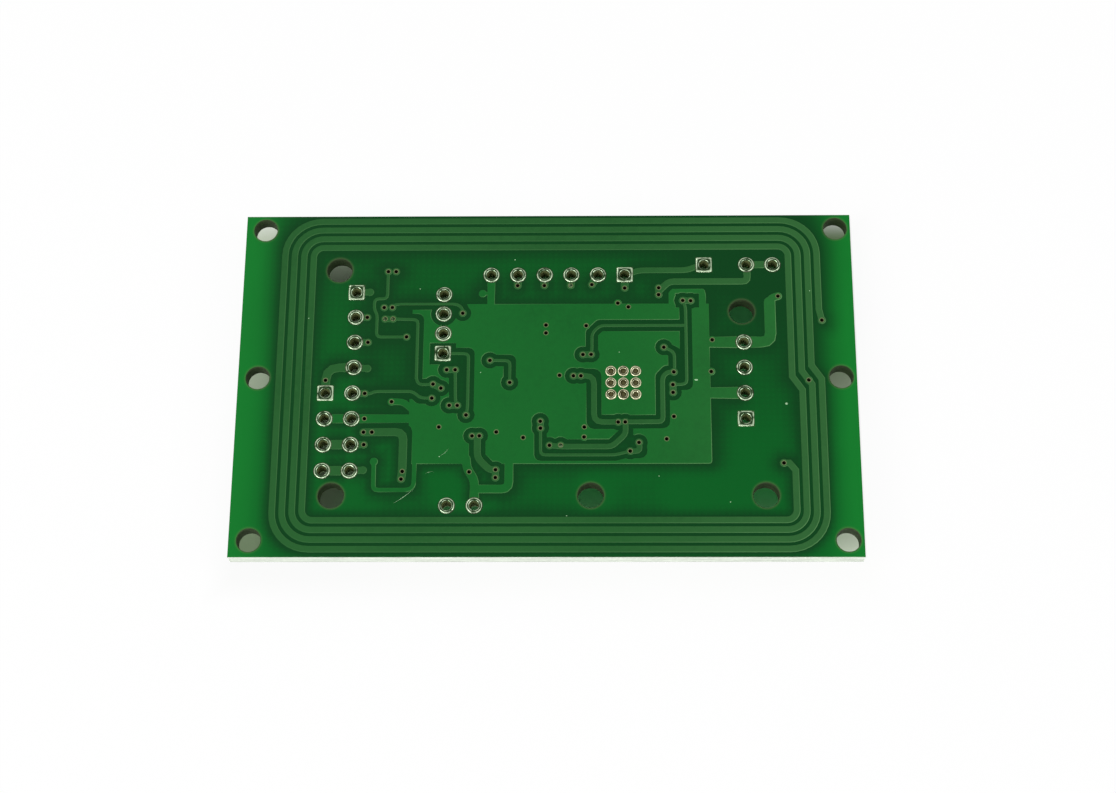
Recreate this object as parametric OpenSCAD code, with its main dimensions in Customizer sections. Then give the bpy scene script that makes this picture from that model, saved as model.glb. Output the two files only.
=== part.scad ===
/* [Board] */
// Width of the board, left to right
board_w = 58; // [58:0.5:72]
// Depth of the board, front to back
board_d = 34; // [34:0.5:44]
// Thickness of the bare laminate
board_t = 1.6; // [1:0.1:2.4]
// Thickness of the etched copper
copper_t = 0.05; // [0.035:0.005:0.08]
// Thickness of the solder mask film
mask_t = 0.025; // [0.02:0.005:0.035]
// How far the mask stays back from a solderable pad
mask_gap = 0.05; // [0.02:0.01:0.1]
// How far the mask keeps back from a plain hole
hole_relief = 0.2; // [0.18:0.01:0.25]
// Thickness of the printed legend
legend_t = 0.015; // [0.01:0.005:0.03]
// Line width of the printed legend
legend_line = 0.16; // [0.1:0.02:0.25]

/* [Mounting holes] */
// Diameter of the six holes along the two short edges
mount_d = 2.2; // [1.8:0.1:2.8]
// From the left edge to the middle of its holes
mount_left = 1.85; // [1.7:0.05:2.5]
// From the right edge to the middle of its holes
mount_right = 1.45; // [1.45:0.05:2]
// From the back edge to the middle of the back holes
mount_back = 1.45; // [1.45:0.05:3]
// From the front edge to the middle of the front holes
mount_front = 1.6; // [1.45:0.05:3]
// How far the middle pair lies behind the board's middle
mount_shift = 0.4; // [0:0.1:2]
// Diameter of the five holes inside the coil
inner_hole_d = 2.4; // [1.8:0.1:2.8]

/* [Antenna coil] */
// Number of turns
coil_turns = 4; // [2:1:4]
// Width of the printed track
coil_track = 0.58; // [0.4:0.02:0.7]
// Distance from turn to turn
coil_pitch = 0.915; // [0.8:0.005:1.1]
// From the left edge to the middle of the outer turn
coil_left = 3.85; // [3.6:0.05:4.5]
// From the right edge to the middle of the outer turn
coil_right = 3.3; // [3.1:0.05:3.5]
// From the back edge to the middle of the outer turn
coil_back = 0.55; // [0.5:0.05:0.7]
// From the front edge to the middle of the outer turn
coil_front = 0.75; // [0.5:0.05:0.8]
// Corner radius at the middle of the outer turn
coil_corner = 3.5; // [3.3:0.05:4.2]
// How much tighter each turn's corners are than the last
coil_corner_step = 0.84; // [0.75:0.01:0.9]

/* [Tracks and vias] */
// Width of a signal track
track_thin = 0.26; // [0.2:0.02:0.32]
// Width of a supply track
track_mid = 0.5; // [0.4:0.02:0.6]
// Width of a track that joins a pad to its via
track_neck = 0.62; // [0.5:0.02:0.7]
// Width of a ground track
track_wide = 0.8; // [0.6:0.05:0.85]
// Width of the tracks to the output header
track_power = 1.05; // [0.8:0.05:1.2]
// Gap between the ground pour and what it goes round
clearance = 0.46; // [0.3:0.02:0.5]
// Radius of the round land about a via
land_r = 0.37; // [0.32:0.01:0.4]
// Diameter of the open hole in a via
via_d = 0.34; // [0.25:0.01:0.4]
// Thickness of the plating on a hole's wall
plating = 0.018; // [0.012:0.002:0.018]
// Distance between the nine thermal vias
thermal_pitch = 1.16; // [1.1:0.01:1.4]
// Outer radius of a thermal via's solder ring
thermal_r = 0.49; // [0.4:0.01:0.52]
// Diameter of the hole in a thermal via
thermal_d = 0.5; // [0.4:0.02:0.6]

/* [Header pads] */
// Distance from pin to pin
pin_pitch = 2.54; // [2.1:0.01:2.54]
// Distance from pin to pin on the small programming header
fine_pitch = 2; // [1.75:0.05:2.2]
// Outer radius of a round pad
pad_r = 0.76; // [0.65:0.01:0.85]
// Diameter of the open hole in a pad
pin_hole_d = 0.9; // [0.75:0.05:1.1]
// Height of the solder that crowns a pad
crown = 0.07; // [0.03:0.01:0.1]

/* [Crystals] */
// Length of a crystal's base
crystal_l = 11.4; // [9.5:0.1:12]
// Width of a crystal's base
crystal_w = 4.7; // [4:0.1:5.4]
// Height of a crystal above the board
crystal_h = 4; // [3.4:0.1:5]
// Thickness of a crystal's plastic base
crystal_base = 0.8; // [0.5:0.1:1.2]
// How far a crystal's leads reach out from its base
crystal_lead = 1.1; // [0.9:0.05:1.3]

/* [Chips and small parts] */
// Side of the reader chip
reader_side = 5; // [4.4:0.1:5.4]
// Height of the reader chip
reader_h = 0.85; // [0.7:0.05:1]
// Side of the controller's body
controller_side = 7; // [6:0.1:7.4]
// Height of the controller
controller_h = 1.1; // [0.9:0.05:1.4]
// How far the controller's leads reach out from its body
lead_reach = 1; // [0.8:0.05:1.2]
// Length of the regulator's body
regulator_l = 6.5; // [5.8:0.1:6.8]
// Height of the regulator
regulator_h = 1.6; // [1.3:0.1:1.9]
// Length of a small chip part, such as a resistor
chip_l = 1.6; // [1.4:0.05:1.8]
// Width of a small chip part
chip_w = 0.8; // [0.65:0.05:0.9]
// Height of a ceramic capacitor
capacitor_h = 0.8; // [0.6:0.05:1]
// Height of a resistor
resistor_h = 0.45; // [0.35:0.05:0.55]
// Length of a tantalum capacitor
tantalum_l = 3.5; // [3:0.1:3.8]
// Height of a tantalum capacitor
tantalum_h = 1.9; // [1.6:0.1:2.2]

/* [Hidden] */
$fn = 48;
EPS = 0.01;
CAP_STEPS = 6;     // straight stretches round the end of a track
BEND_STEPS = 3;    // straight stretches round a bend
CORNER_STEPS = 9;  // straight stretches round a corner of the coil
LAND_STEPS = 14;   // straight stretches round a via's land
least_width = 0.16; // copper narrower than this isn't left standing
bend_r = 0.45;     // how far from its corner a bend begins

// Everything on the component side is seated at this height above the laminate.
seat = copper_t + mask_t;
// The crystals' flat tops are the feet that the board lies on, so height zero is there.
face_down = crystal_h + seat;
face_up = face_down + board_t;

// ---------------------------------------------------------------- places

function row(start, step, count) = [for (i = [0:count - 1]) start + i * step];
across = [pin_pitch, 0];
down = [0, -pin_pitch];
fine_down = [0, -fine_pitch];

mount_y = [board_d / 2 - mount_back, mount_shift, mount_front - board_d / 2];
mount_holes = [
    for (x = [mount_left - board_w / 2, board_w / 2 - mount_right], y = mount_y) [x, y]
];
inner_holes = [[-19.85, 11.35], [-19.8, -11.15], [18.4, 7], [4.1, -11.15], [20.2, -11.15]];

serial_pins = row([-5.33, 10.82], across, 6);
io_pins = row([-18.15, 9.05], down, 4);
option_pins_a = row([-20.72, -1.13], down, 4);
option_pins_b = row([-18.18, -1.13], down, 4);
option_pins = concat(option_pins_a, option_pins_b);
output_pins = row([18.53, 3.9], down, 4);
programming_pins = row([-9.8, 8.82], fine_down, 4);
indicator_pins = [[14.92, 11.82], [18.95, 11.82], [21.45, 11.82]];
power_pins = row([-9.13, -12.12], across, 2);

// Each header's square pad marks its first pin.
square_pins = [
    serial_pins[5], io_pins[0], option_pins[0], output_pins[3],
    programming_pins[3], indicator_pins[0]
];
all_pins = concat(
    serial_pins, io_pins, option_pins, output_pins, programming_pins,
    indicator_pins, power_pins
);

thermal_middle = [7.17, -0.15];
thermal_pins = [
    for (i = [-1:1], j = [-1:1]) thermal_middle + thermal_pitch * [i, j]
];

// Where each part sits on the component side, as seen through the board: x, y, turn
reader_place = [thermal_middle[0], thermal_middle[1], 0];
controller_place = [-3.7, 2.5, 0];
regulator_place = [-0.8, -10.9, 0];
crystal_places = [[13.9, -2, 90], [-13.9, 1, 90]];
tantalum_places = [[-12.7, -12.6, 0], [8.4, -11.6, 0]];
inductor_places = [[5.3, -5.2, 0], [9.2, -4.8, 0]];
capacitor_places = [
    [17.7, -6.7, 0], [17.7, -8.05, 0], [17.7, -9.4, 0], [13.9, -10.9, 0], [5.4, -7, 0],
    [1.9, -1.6, 90], [1.9, 3, 90], [10.7, 5.6, 90], [5.4, 4.5, 0], [-12.5, -6.9, 90],
    [-14.3, -7.6, 0], [-10.5, -6.6, 0], [-3.6, -3.7, 0], [-6.5, -4.1, 0]
];
resistor_places = [
    [-4.1, 8.5, 0], [-1.5, 8.5, 0], [1.1, 8.5, 0], [3.7, 8.5, 0], [9, 7.6, 90],
    [-11.9, 10.9, 90], [-16.7, -12.6, 0], [12.3, 12.6, 0], [6.9, -8.6, 0], [1.9, 5.8, 90]
];
lamp_place = [-14, 13.2, 0];

// ---------------------------------------------------------------- outlines

function normal(a, b) = let (d = (b - a) / norm(b - a)) [-d[1], d[0]];
function heading(a, b) = atan2(b[1] - a[1], b[0] - a[0]);
function mitre(a, b, c) = let (n = normal(a, b), m = normal(b, c)) (n + m) / (1 + n * m);
function backwards(p) = [for (i = [len(p) - 1:-1:0]) p[i]];
function polar(r, a) = [r * cos(a), r * sin(a)];
function turned(v, a) = [v[0] * cos(a) - v[1] * sin(a), v[0] * sin(a) + v[1] * cos(a)];
function arc(middle, r, from, to, steps) = [
    for (i = [0:steps]) middle + polar(r, from + (to - from) * i / steps)
];

// The points on one side of a path, offset by r to its left
function beside(p, r) = [
    for (i = [1:1:len(p) - 2]) p[i] + r * mitre(p[i - 1], p[i], p[i + 1])
];

// The outline of a track of width w with round ends along the path p
function strip(p, w) =
    let (n = len(p), from = heading(p[0], p[1]), to = heading(p[n - 2], p[n - 1]))
    concat(
        beside(p, w / 2),
        arc(p[n - 1], w / 2, to + 90, to - 90, CAP_STEPS),
        backwards(beside(p, -w / 2)),
        arc(p[0], w / 2, from - 90, from - 270, CAP_STEPS)
    );

// A bend from a to c round the corner b
function bend(a, b, c, r) =
    let (
        back = min(r, norm(a - b) * 0.48),
        on = min(r, norm(c - b) * 0.48),
        start = b + (a - b) / norm(a - b) * back,
        stop = b + (c - b) / norm(c - b) * on
    )
    [for (i = [0:BEND_STEPS]) let (t = i / BEND_STEPS)
        (1 - t) * (1 - t) * start + 2 * t * (1 - t) * b + t * t * stop];

// One flank of the room kept clear round a path: arcs outside a bend, a corner inside it
function flank(p, r) = [
    for (i = [1:1:len(p) - 2]) each (
        cross(p[i] - p[i - 1], p[i + 1] - p[i]) * r > 0
            ? [p[i] + r * mitre(p[i - 1], p[i], p[i + 1])]
            : let (
                from = heading(p[i - 1], p[i]),
                turn = (heading(p[i], p[i + 1]) - from + 540) % 360 - 180
            )
            arc(p[i], abs(r), from + sign(r) * 90, from + turn + sign(r) * 90, BEND_STEPS)
    )
];

// The outline of the room kept clear along the path p, w wide, with round ends
function berth(p, w) =
    let (n = len(p), from = heading(p[0], p[1]), to = heading(p[n - 2], p[n - 1]))
    concat(
        flank(p, w / 2),
        arc(p[n - 1], w / 2, to + 90, to - 90, CAP_STEPS),
        backwards(flank(p, -w / 2)),
        arc(p[0], w / 2, from - 90, from - 270, CAP_STEPS)
    );

// The path p with every corner eased
function eased(p, r = bend_r) = [
    p[0],
    for (i = [1:1:len(p) - 2]) each bend(p[i - 1], p[i], p[i + 1], r),
    p[len(p) - 1]
];

// The path that the coil's track follows, from its outer end to its inner end
coil_low = [coil_left - board_w / 2, coil_front - board_d / 2];
coil_high = [board_w / 2 - coil_right, board_d / 2 - coil_back];
jog_rise = 1.35;
jog_stagger = 0.55;
jog_y = 0.2;
coil_start_y = 7.2;
coil_stop_y = -8.75;

function turn_x(k) = coil_high[0] - k * coil_pitch;
function turn(k) =
    let (
        r = coil_corner - k * coil_corner_step,
        low = coil_low + (k * coil_pitch + r) * [1, 1],
        high = coil_high - (k * coil_pitch + r) * [1, 1]
    )
    concat(
        arc(high, r, 0, 90, CORNER_STEPS),
        arc([low[0], high[1]], r, 90, 180, CORNER_STEPS),
        arc(low, r, 180, 270, CORNER_STEPS),
        arc([high[0], low[1]], r, 270, 360, CORNER_STEPS)
    );
function jog_foot(k) = [turn_x(k), jog_y - k * jog_stagger];
function jog_head(k) = [turn_x(k + 1), jog_y - k * jog_stagger + jog_rise];

last_turn = coil_turns - 1;
tap_jog = min(1, last_turn - 1);
coil_outer_end = [turn_x(0) + 0.24, 6.1];
coil_inner_end = [turn_x(last_turn) - 1.05, -8.05];
coil_tap = jog_foot(tap_jog) + (jog_head(tap_jog) - jog_foot(tap_jog)) * 0.32;
coil_vias = [coil_outer_end, coil_inner_end, coil_tap];
coil_path = concat(
    [coil_outer_end, [turn_x(0), coil_start_y]],
    [for (k = [0:last_turn]) each concat(
        turn(k),
        k < last_turn ? [jog_foot(k), jog_head(k)] : []
    )],
    [[turn_x(last_turn), coil_stop_y], coil_inner_end + [0.5, 0], coil_inner_end]
);

// ---------------------------------------------------------------- layout of the solder side

// Vias in the ground pour, or on a track that joins it
ground_vias = [
    [-10, -4.5], [-4.65, -5], [-2.15, -5.55], [-0.1, 5.67], [-0.1, 4.87], [3.7, 5.6],
    [1.2, 0.6], [11.85, -3.5], [11.15, -5.7], [3.52, -4.52], [3.5, -5.5], [7.7, 7.5],
    [6.7, 7.9], [15.56, 4.13], [15.4, 0.95], [-7.1, -8.88], [-14.48, -2],
    [-16.96, -3.67], [21.88, 8.57]
];
// Vias on signal and supply tracks
signal_vias = [
    [-15.2, 11.2], [-14.45, 11.2], [-15.48, 7.5], [-14.7, 7.5], [-13.27, 4.5], [-8, 6.9],
    [-17.05, 6.5], [-16.9, 3.96], [-20.75, 0.15], [-17.02, -1.17], [-10.65, -0.25],
    [-9.9, -0.66], [-10.73, -1.65], [-9.4, 1.18], [-8.6, 1.18], [-9.09, -2.37],
    [-8.33, -2.37], [-7.5, -3.32], [-5.35, 2.11], [-3.47, -0.1], [-2.82, 9.72],
    [-0.28, 9.72], [4.24, 9.8], [7.36, 9.44], [3.39, 2.68], [4.16, 2.69], [2.5, 0.55],
    [3.2, 0.55], [11, 3.4], [11.9, 0.92], [11.8, -0.35], [11.8, -1.12], [6.67, -4.04],
    [7.33, -4.03], [-0.57, -3.95], [-0.55, -4.63], [0.29, -6.31], [8.58, -6.04],
    [7.76, -6.88], [-6.9, -5.38], [-6.22, -5.37], [-4.67, -8.67], [-4.67, -9.43],
    [-17, -5], [-16.22, -5], [-16.93, -6.22], [-13.28, -8.83], [-13.37, -9.57],
    [10.59, 9.46], [10.57, 8.75], [12.85, 8.15], [13.6, 8.12]
];
// Vias that the mask covers over
tented_vias = [[-16.87, 9.08], [-16.87, 1.32], [-6.13, 8.9], [-16.93, -8.7], [-15.93, -7.87]];
// Vias that solder has filled
plugged_vias = [[2.22, 9.72], [1.33, -6.31], [-15.35, 6.33], [-14.6, 6.33]];

// Tracks that leave the ground pour: width, then path
ground_tracks = [
    [0.68, [serial_pins[0], [-5.34, 7.4]]],
    [0.3, [[-6.13, 8.9], [-5.34, 8.9]]],
    [track_power, [[14.6, 3.9], output_pins[0], [21.07, 3.9], [21.07, 7.95]]],
    [0.74, [[21.07, 7.6], [21.2, 8.35], [21.88, 8.57]]],
    [track_power, [[14.6, output_pins[2][1]], output_pins[2]]],
    [track_wide, [[-7.4, -7.6], [-7.3, -8.6], [-6.58, -9.6], power_pins[1]]],
    [track_wide, [[-3.43, -7.6], [-3.43, -10.53], [-6.58, -10.53]]],
    [0.4, [[-12.17, -7.6], [-12.17, -10.2], [-12.6, -10.62], [-15.9, -10.62], [-15.93, -7.87]]],
    [track_neck, [[-14.48, -2], [-13.35, -2], [-12.3, -3]]],
    [track_wide, [option_pins_a[1], option_pins_b[1], [-12.4, -3.67]]],
];

// Tracks of their own nets: width, then path
signal_tracks = [
    [track_thin, [signal_vias[0], [-15.2, 8.4], [-16.42, 8.4], [-16.42, 7.3], [-16.12, 6.8],
        [-16.12, 4.5], signal_vias[4]]],
    [track_thin, [signal_vias[3], [-14.4, 7.84], [-8.55, 7.84], [-8.05, 7.41], signal_vias[5]]],
    [track_neck, [plugged_vias[2], plugged_vias[3]]],
    [track_thin, [plugged_vias[3], [-12.23, 6.26], [-12.23, 0.1], [-11.85, -0.33], signal_vias[10]]],
    [track_neck, [signal_vias[10], signal_vias[11]]],
    [track_neck, [io_pins[0], tented_vias[0]]],
    [track_neck, [io_pins[1], signal_vias[6]]],
    [track_neck, [io_pins[2], signal_vias[7]]],
    [track_neck, [io_pins[3], tented_vias[1]]],
    [track_wide, [io_pins[3], [-20.72, 1.4], option_pins_a[0]], 1.3],
    [track_neck, [option_pins_b[0], signal_vias[9]]],
    [track_thin, [signal_vias[9], [-16.5, -1.2], [-16.1, -0.97], [-12.5, -0.97], [-11.85, -1.62],
        signal_vias[12]]],
    [track_wide, [option_pins_a[2], option_pins_b[2]]],
    [track_neck, [option_pins_b[2], signal_vias[45]]],
    [track_wide, [option_pins_a[3], option_pins_b[3]]],
    [track_neck, [option_pins_b[3], tented_vias[3]]],
    [track_wide - 0.05, [signal_vias[43], [-13.28, -4.98], signal_vias[46], signal_vias[47]], 0.8],
    [track_thin, [programming_pins[3], [-7.37, 2.8], [-7.37, -2.6], signal_vias[17]]],
    [track_neck, [signal_vias[13], signal_vias[14]]],
    [track_thin, [signal_vias[14], [-8.52, -1.9], signal_vias[16]]],
    [track_neck, [signal_vias[15], signal_vias[16]]],
    [track_thin, [signal_vias[18], [-3.47, 2.09], signal_vias[19]]],
    [track_neck, [signal_vias[39], signal_vias[40]]],
    [track_neck, [[-6.4, -5.38], [-6.38, -7.5], [-5.25, -8.67], signal_vias[41], signal_vias[42]]],
    [track_neck, [signal_vias[34], signal_vias[35]]],
    [track_thin, [signal_vias[35], [-0.53, -7.24], [6.4, -7.24], [7.1, -7.05], signal_vias[38]]],
    [track_mid, [signal_vias[38], [8.66, -6.88], signal_vias[37]]],
    [track_mid, [signal_vias[36], [1.33, -6.43], [6.1, -6.43], [7.37, -5.2], signal_vias[33]]],
    [track_mid, [signal_vias[26], [4.42, 0.55], [4.42, -4.02], signal_vias[33]], 0.8],
    [track_mid - 0.08, [signal_vias[33], [10.83, -4], [10.83, 0.4], [11.3, 0.9], signal_vias[29]]],
    [track_thin, [signal_vias[29], [11.98, 1.2], [11.98, 2.9], signal_vias[28]]],
    [track_neck, [signal_vias[24], signal_vias[25]]],
    [track_thin, [signal_vias[25], [4.24, 3.2], [4.24, 4.85], [5, 5.61], [13.1, 5.61]]],
    [track_neck, [signal_vias[50], signal_vias[51]]],
    [track_thin, [signal_vias[50], [13.1, 7.5], [13.1, -0.3], signal_vias[30]]],
    [track_neck, [signal_vias[30], signal_vias[31]]],
    [track_neck, [signal_vias[48], signal_vias[49]]],
    [track_neck, [[10.6, 9.1], [11.55, 10.1], [19.05, 10.1], indicator_pins[1]]],
    [track_neck, [indicator_pins[1], indicator_pins[2]]],
    [track_mid + 0.05, [serial_pins[5], [8.8, 11.27], [13.2, 11.27], indicator_pins[0]]],
    [track_wide - 0.1, [serial_pins[1], signal_vias[20]]],
    [track_wide - 0.1, [serial_pins[2], signal_vias[21]]],
    [track_wide - 0.1, [serial_pins[3], plugged_vias[0]]],
    [track_wide - 0.1, [serial_pins[4], signal_vias[22]]],
    [track_wide - 0.1, [serial_pins[5], signal_vias[23]]],
];

// The ground pour's own edge, before what it goes round is taken away
pour_edge = [
    [-12.8, -8.1],
    each bend([0, -8.1], [15.3, -8.1], [15.3, 0], 0.3),
    [15.3, 7.8], [15.04, 7.8],
    each bend([15.04, 7.8], [15.04, 9.53], [13, 9.53], 0.8),
    each bend([13, 9.53], [11.53, 9.53], [11.53, 8], 0.7),
    [11.53, 7.82], [-12.76, 7.82], [-12.76, 6.7], [-11.9, 6.7], [-11.9, -1.75], [-12.8, -1.75]
];
// Pockets in the pour: the low and the high corner of each
pour_pockets = [
    [[12.16, 7.42], [14.4, 8.86]],
    [[-11.02, 1.7], [-8.56, 3.86]],
    [[-8.8, -2], [-7.6, 3.1]],
    [[-12, -1.3], [-11.1, -0.6]],
    [[7.2, -6.9], [8.3, -5.3]],
];

// ---------------------------------------------------------------- layout of the component side

LEADS_A_SIDE = 8;
controller_pitch = 0.8;
controller_lead_w = 0.37;
reader_pitch = 0.5;
reader_lead_w = 0.24;
reader_lead_l = 0.4;
exposed_side = 3.3;
regulator_w = 3.5;
regulator_pitch = 2.3;
regulator_lead_w = 0.7;
regulator_tab_w = 3;
regulator_reach = 1.75;
tantalum_w = 2.8;
tantalum_lead_w = 2.2;
inductor_size = [2, 1.25, 1.25];
lamp_h = 0.75;
crystal_lead_w = 0.7;
foot_l = 0.6;
controller_lead_t = 0.13;
regulator_lead_t = 0.25;
reader_lead_t = 0.2;
tantalum_foot_l = 0.8;
tantalum_foot_t = 0.1;
capacitor_cap = 0.3;    // length of the metal at each end of a chip part
resistor_cap = 0.25;
inductor_cap = 0.35;
lamp_cap = 0.3;
pad_room = 0.06;    // how far a footprint pad stands out beside its lead
toe = 0.35;         // how far it stands out past the end of a chip part
short_toe = 0.1;    // and past the end of a controller's lead

// One soldered joint: where the terminal's end is, which way it points, how far the pad
// reaches in under it, the terminal's width, how high the solder climbs, and the pad's toe.
function joint(place, spot, way, inside, width, rise, past = toe) = [
    [place[0], place[1]] + turned(spot, place[2]), place[2] + way, inside, width, rise, past
];
function end_joints(place, reach, inside, width, rise) = [
    for (way = [0, 180]) joint(place, polar(reach, way), way, inside, width, rise)
];
// Lead i along one side of a chip, reach out from its middle: side 0 faces along X
function lead_spot(reach, pitch, side, i) =
    turned([reach, (i - (LEADS_A_SIDE - 1) / 2) * pitch], 90 * side);
function ring_joints(place, reach, pitch, inside, width, rise, past) = [
    for (side = [0:3], i = [0:LEADS_A_SIDE - 1])
        joint(place, lead_spot(reach, pitch, side, i), 90 * side, inside, width, rise, past)
];
chip_inside = chip_l / 4;
controller_joints = ring_joints(controller_place, controller_side / 2 + lead_reach,
    controller_pitch, foot_l, controller_lead_w, 0.1, short_toe);
reader_joints = ring_joints(reader_place, reader_side / 2, reader_pitch, reader_lead_l,
    reader_lead_w, 0.18, toe);
regulator_joints = concat(
    [for (i = [-1:1]) joint(regulator_place, [i * regulator_pitch, -regulator_w / 2 - regulator_reach],
        -90, 1, regulator_lead_w, 0.25)],
    [joint(regulator_place, [0, regulator_w / 2 + regulator_reach], 90, 1, regulator_tab_w, 0.25)]
);
joints = concat(
    controller_joints, reader_joints, regulator_joints,
    [for (p = crystal_places)
        each end_joints(p, crystal_l / 2 + crystal_lead, crystal_lead, crystal_lead_w, 0.15)],
    [for (p = tantalum_places)
        each end_joints(p, tantalum_l / 2, tantalum_foot_l, tantalum_lead_w, 0.6)],
    [for (p = inductor_places)
        each end_joints(p, inductor_size[0] / 2, 0.45, inductor_size[1], 0.5)],
    [for (p = capacitor_places) each end_joints(p, chip_l / 2, chip_inside, chip_w, 0.4)],
    [for (p = concat(resistor_places, [lamp_place]))
        each end_joints(p, chip_l / 2, chip_inside, chip_w, 0.3)]
);
function end_of(place, reach, way) = [place[0], place[1]] + polar(reach, place[2] + way);
function chip_end(place, way) = end_of(place, chip_l / 2, way);
function controller_end(side, i) = [controller_place[0], controller_place[1]]
    + lead_spot(controller_side / 2 + lead_reach - foot_l / 2, controller_pitch, side, i);
function reader_end(side, i) = [reader_place[0], reader_place[1]]
    + lead_spot(reader_side / 2, reader_pitch, side, i);
function regulator_end(i) = [regulator_place[0], regulator_place[1]]
    + [i * regulator_pitch, -regulator_w / 2 - regulator_reach + 0.2];
track_fine = 0.2;

// Tracks of the component side: width, then path
component_tracks = [
    [0.4, [coil_outer_end, [coil_outer_end[0], -7.3], [24, -9.4], end_of(capacitor_places[2], 1, 0)]],
    [0.4, [coil_inner_end, end_of(capacitor_places[1], 1, 0)]],
    [0.4, [coil_tap, [coil_tap[0] - 0.5, 0.09], [17.4, 0.09], [17.2, -0.3], [17.2, -5.6],
        end_of(capacitor_places[0], 0.9, 180)]],
    [0.4, [end_of(capacitor_places[2], 1, 180), [16.2, -9.9], [11.4, -9.9], [10, -8.5],
        end_of(inductor_places[1], 0.9, 0)]],
    // From the serial header's vias by way of its resistors to the controller
    [track_fine, [signal_vias[20], chip_end(resistor_places[0], 0)]],
    [track_fine, [chip_end(resistor_places[0], 180), controller_end(1, 5)]],
    [track_fine, [signal_vias[21], chip_end(resistor_places[1], 0)]],
    [track_fine, [chip_end(resistor_places[1], 180), controller_end(1, 2)]],
    [track_fine, [plugged_vias[0], chip_end(resistor_places[2], 0)]],
    [track_fine, [chip_end(resistor_places[2], 180), [-0.9, 7.3], controller_end(1, 0)]],
    [track_fine, [signal_vias[22], chip_end(resistor_places[3], 0)]],
    [track_fine, [chip_end(resistor_places[3], 180), chip_end(resistor_places[9], 0)]],
    [track_fine, [chip_end(resistor_places[9], 180), controller_end(0, 6)]],
    // From the programming and input headers to the controller
    [track_fine, [programming_pins[0], [-8, 8.4], [-6.5, 7.4], controller_end(1, 7)]],
    [track_fine, [programming_pins[1], [-8.6, 5.3], controller_end(2, 0)]],
    [track_fine, [programming_pins[3], controller_end(2, 3)]],
    [track_fine, [signal_vias[14], controller_end(2, 5)]],
    [track_fine, [signal_vias[6], [-15.2, 3.82], [-8.6, 3.82], controller_end(2, 2)]],
    [track_fine, [signal_vias[7], [-15.7, 1.8], [-9, 1.8], controller_end(2, 4)]],
    [track_fine, [tented_vias[1], [-16, 0.5], controller_end(2, 6)]],
    [track_fine, [signal_vias[12], [-9.3, -1.65], [-8.4, -0.5], controller_end(2, 7)]],
    // From the controller to its capacitors and vias
    [track_fine, [signal_vias[17], [-6.5, -2.4], controller_end(3, 0)]],
    [track_fine, [chip_end(capacitor_places[13], 0), controller_end(3, 1)]],
    [track_fine, [chip_end(capacitor_places[12], 180), controller_end(3, 2)]],
    [track_fine, [chip_end(capacitor_places[12], 0), controller_end(3, 5)]],
    [track_fine, [signal_vias[34], controller_end(3, 7)]],
    [track_fine, [signal_vias[19], controller_end(3, 4)]],
    [track_fine, [signal_vias[26], [1.75, 1.3], controller_end(0, 2)]],
    [track_fine, [chip_end(capacitor_places[6], 180), controller_end(0, 3)]],
    [track_fine, [signal_vias[24], [2.8, 2.9], controller_end(0, 4)]],
    // About the reader chip
    [track_fine, [signal_vias[25], [4.8, 3.2], [5.42, 3], reader_end(1, 7)]],
    [track_fine, [signal_vias[27], reader_end(2, 2)]],
    [track_fine, [signal_vias[28], [9.1, 3.3], reader_end(1, 0)]],
    [track_fine, [signal_vias[29], reader_end(0, 6)]],
    [track_fine, [signal_vias[30], reader_end(0, 3)]],
    [track_fine, [signal_vias[33], end_of(inductor_places[1], inductor_size[0] / 2, 180)]],
    [track_fine, [signal_vias[32], end_of(inductor_places[0], inductor_size[0] / 2, 0)]],
    [track_fine, [end_of(crystal_places[0], (crystal_l + crystal_lead) / 2, 0), [12.4, 4.1],
        [8.8, 4.1], [8.42, 3.6], reader_end(1, 1)]],
    // Supply
    [track_wide, [power_pins[0], end_of(tantalum_places[0], tantalum_l / 2, 0)]],
    [track_wide, [power_pins[0], [-8, -14.2], regulator_end(-1)]],
    [track_mid, [regulator_end(1), [4.3, -14.2], end_of(tantalum_places[1], tantalum_l / 2, 180)]],
    [track_mid, [end_of(tantalum_places[1], tantalum_l / 2, 0), [12, -11.6],
        chip_end(capacitor_places[3], 180)]],
];

// ---------------------------------------------------------------- flat shapes

function is_square(p) = min([for (s = square_pins) norm(s - p)]) < EPS;

module at(places) {
    for (p = places) translate(p) children();
}

module track_shapes(tracks) {
    for (t = tracks)
        polygon(strip(eased(t[1], max(bend_r, t[0] * 0.85, len(t) > 2 ? t[2] : 0)), t[0]));
}

module track_berths(tracks, room) {
    for (t = tracks) polygon(berth(t[1], t[0] + 2 * room));
}

module lands(places, grow = 0) {
    at(places) circle(r = land_r + grow, $fn = LAND_STEPS);
}

module pin_shapes(pins, grow = 0) {
    for (p = pins) translate(p)
        if (is_square(p))
            square(2 * (pad_r + grow), center = true);
        else
            circle(r = pad_r + grow);
}

// Copper as it is etched: joined up, with no sliver left
module etched() {
    offset(delta = least_width / 2) offset(delta = -least_width / 2) children();
}

module coil_shape() {
    etched() {
        polygon(strip(coil_path, coil_track));
        lands(coil_vias);
    }
}

module signal_shape() {
    etched() {
        track_shapes(signal_tracks);
        lands(concat(signal_vias, plugged_vias, [tented_vias[0], tented_vias[1], tented_vias[3]]));
    }
}

module pour_shape() {
    etched() {
        difference() {
            polygon(pour_edge);
            track_berths(signal_tracks, clearance);
            lands(concat(signal_vias, plugged_vias), clearance);
            translate(programming_pins[1]) circle(r = pad_r + clearance);
            for (c = pour_pockets) translate(c[0]) square(c[1] - c[0]);
        }
        track_shapes(ground_tracks);
        lands(concat(ground_vias, [tented_vias[2], tented_vias[4]]));
    }
}

module board_shape() {
    difference() {
        square([board_w, board_d], center = true);
        at(mount_holes) circle(d = mount_d);
        at(inner_holes) circle(d = inner_hole_d);
    }
}

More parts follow.
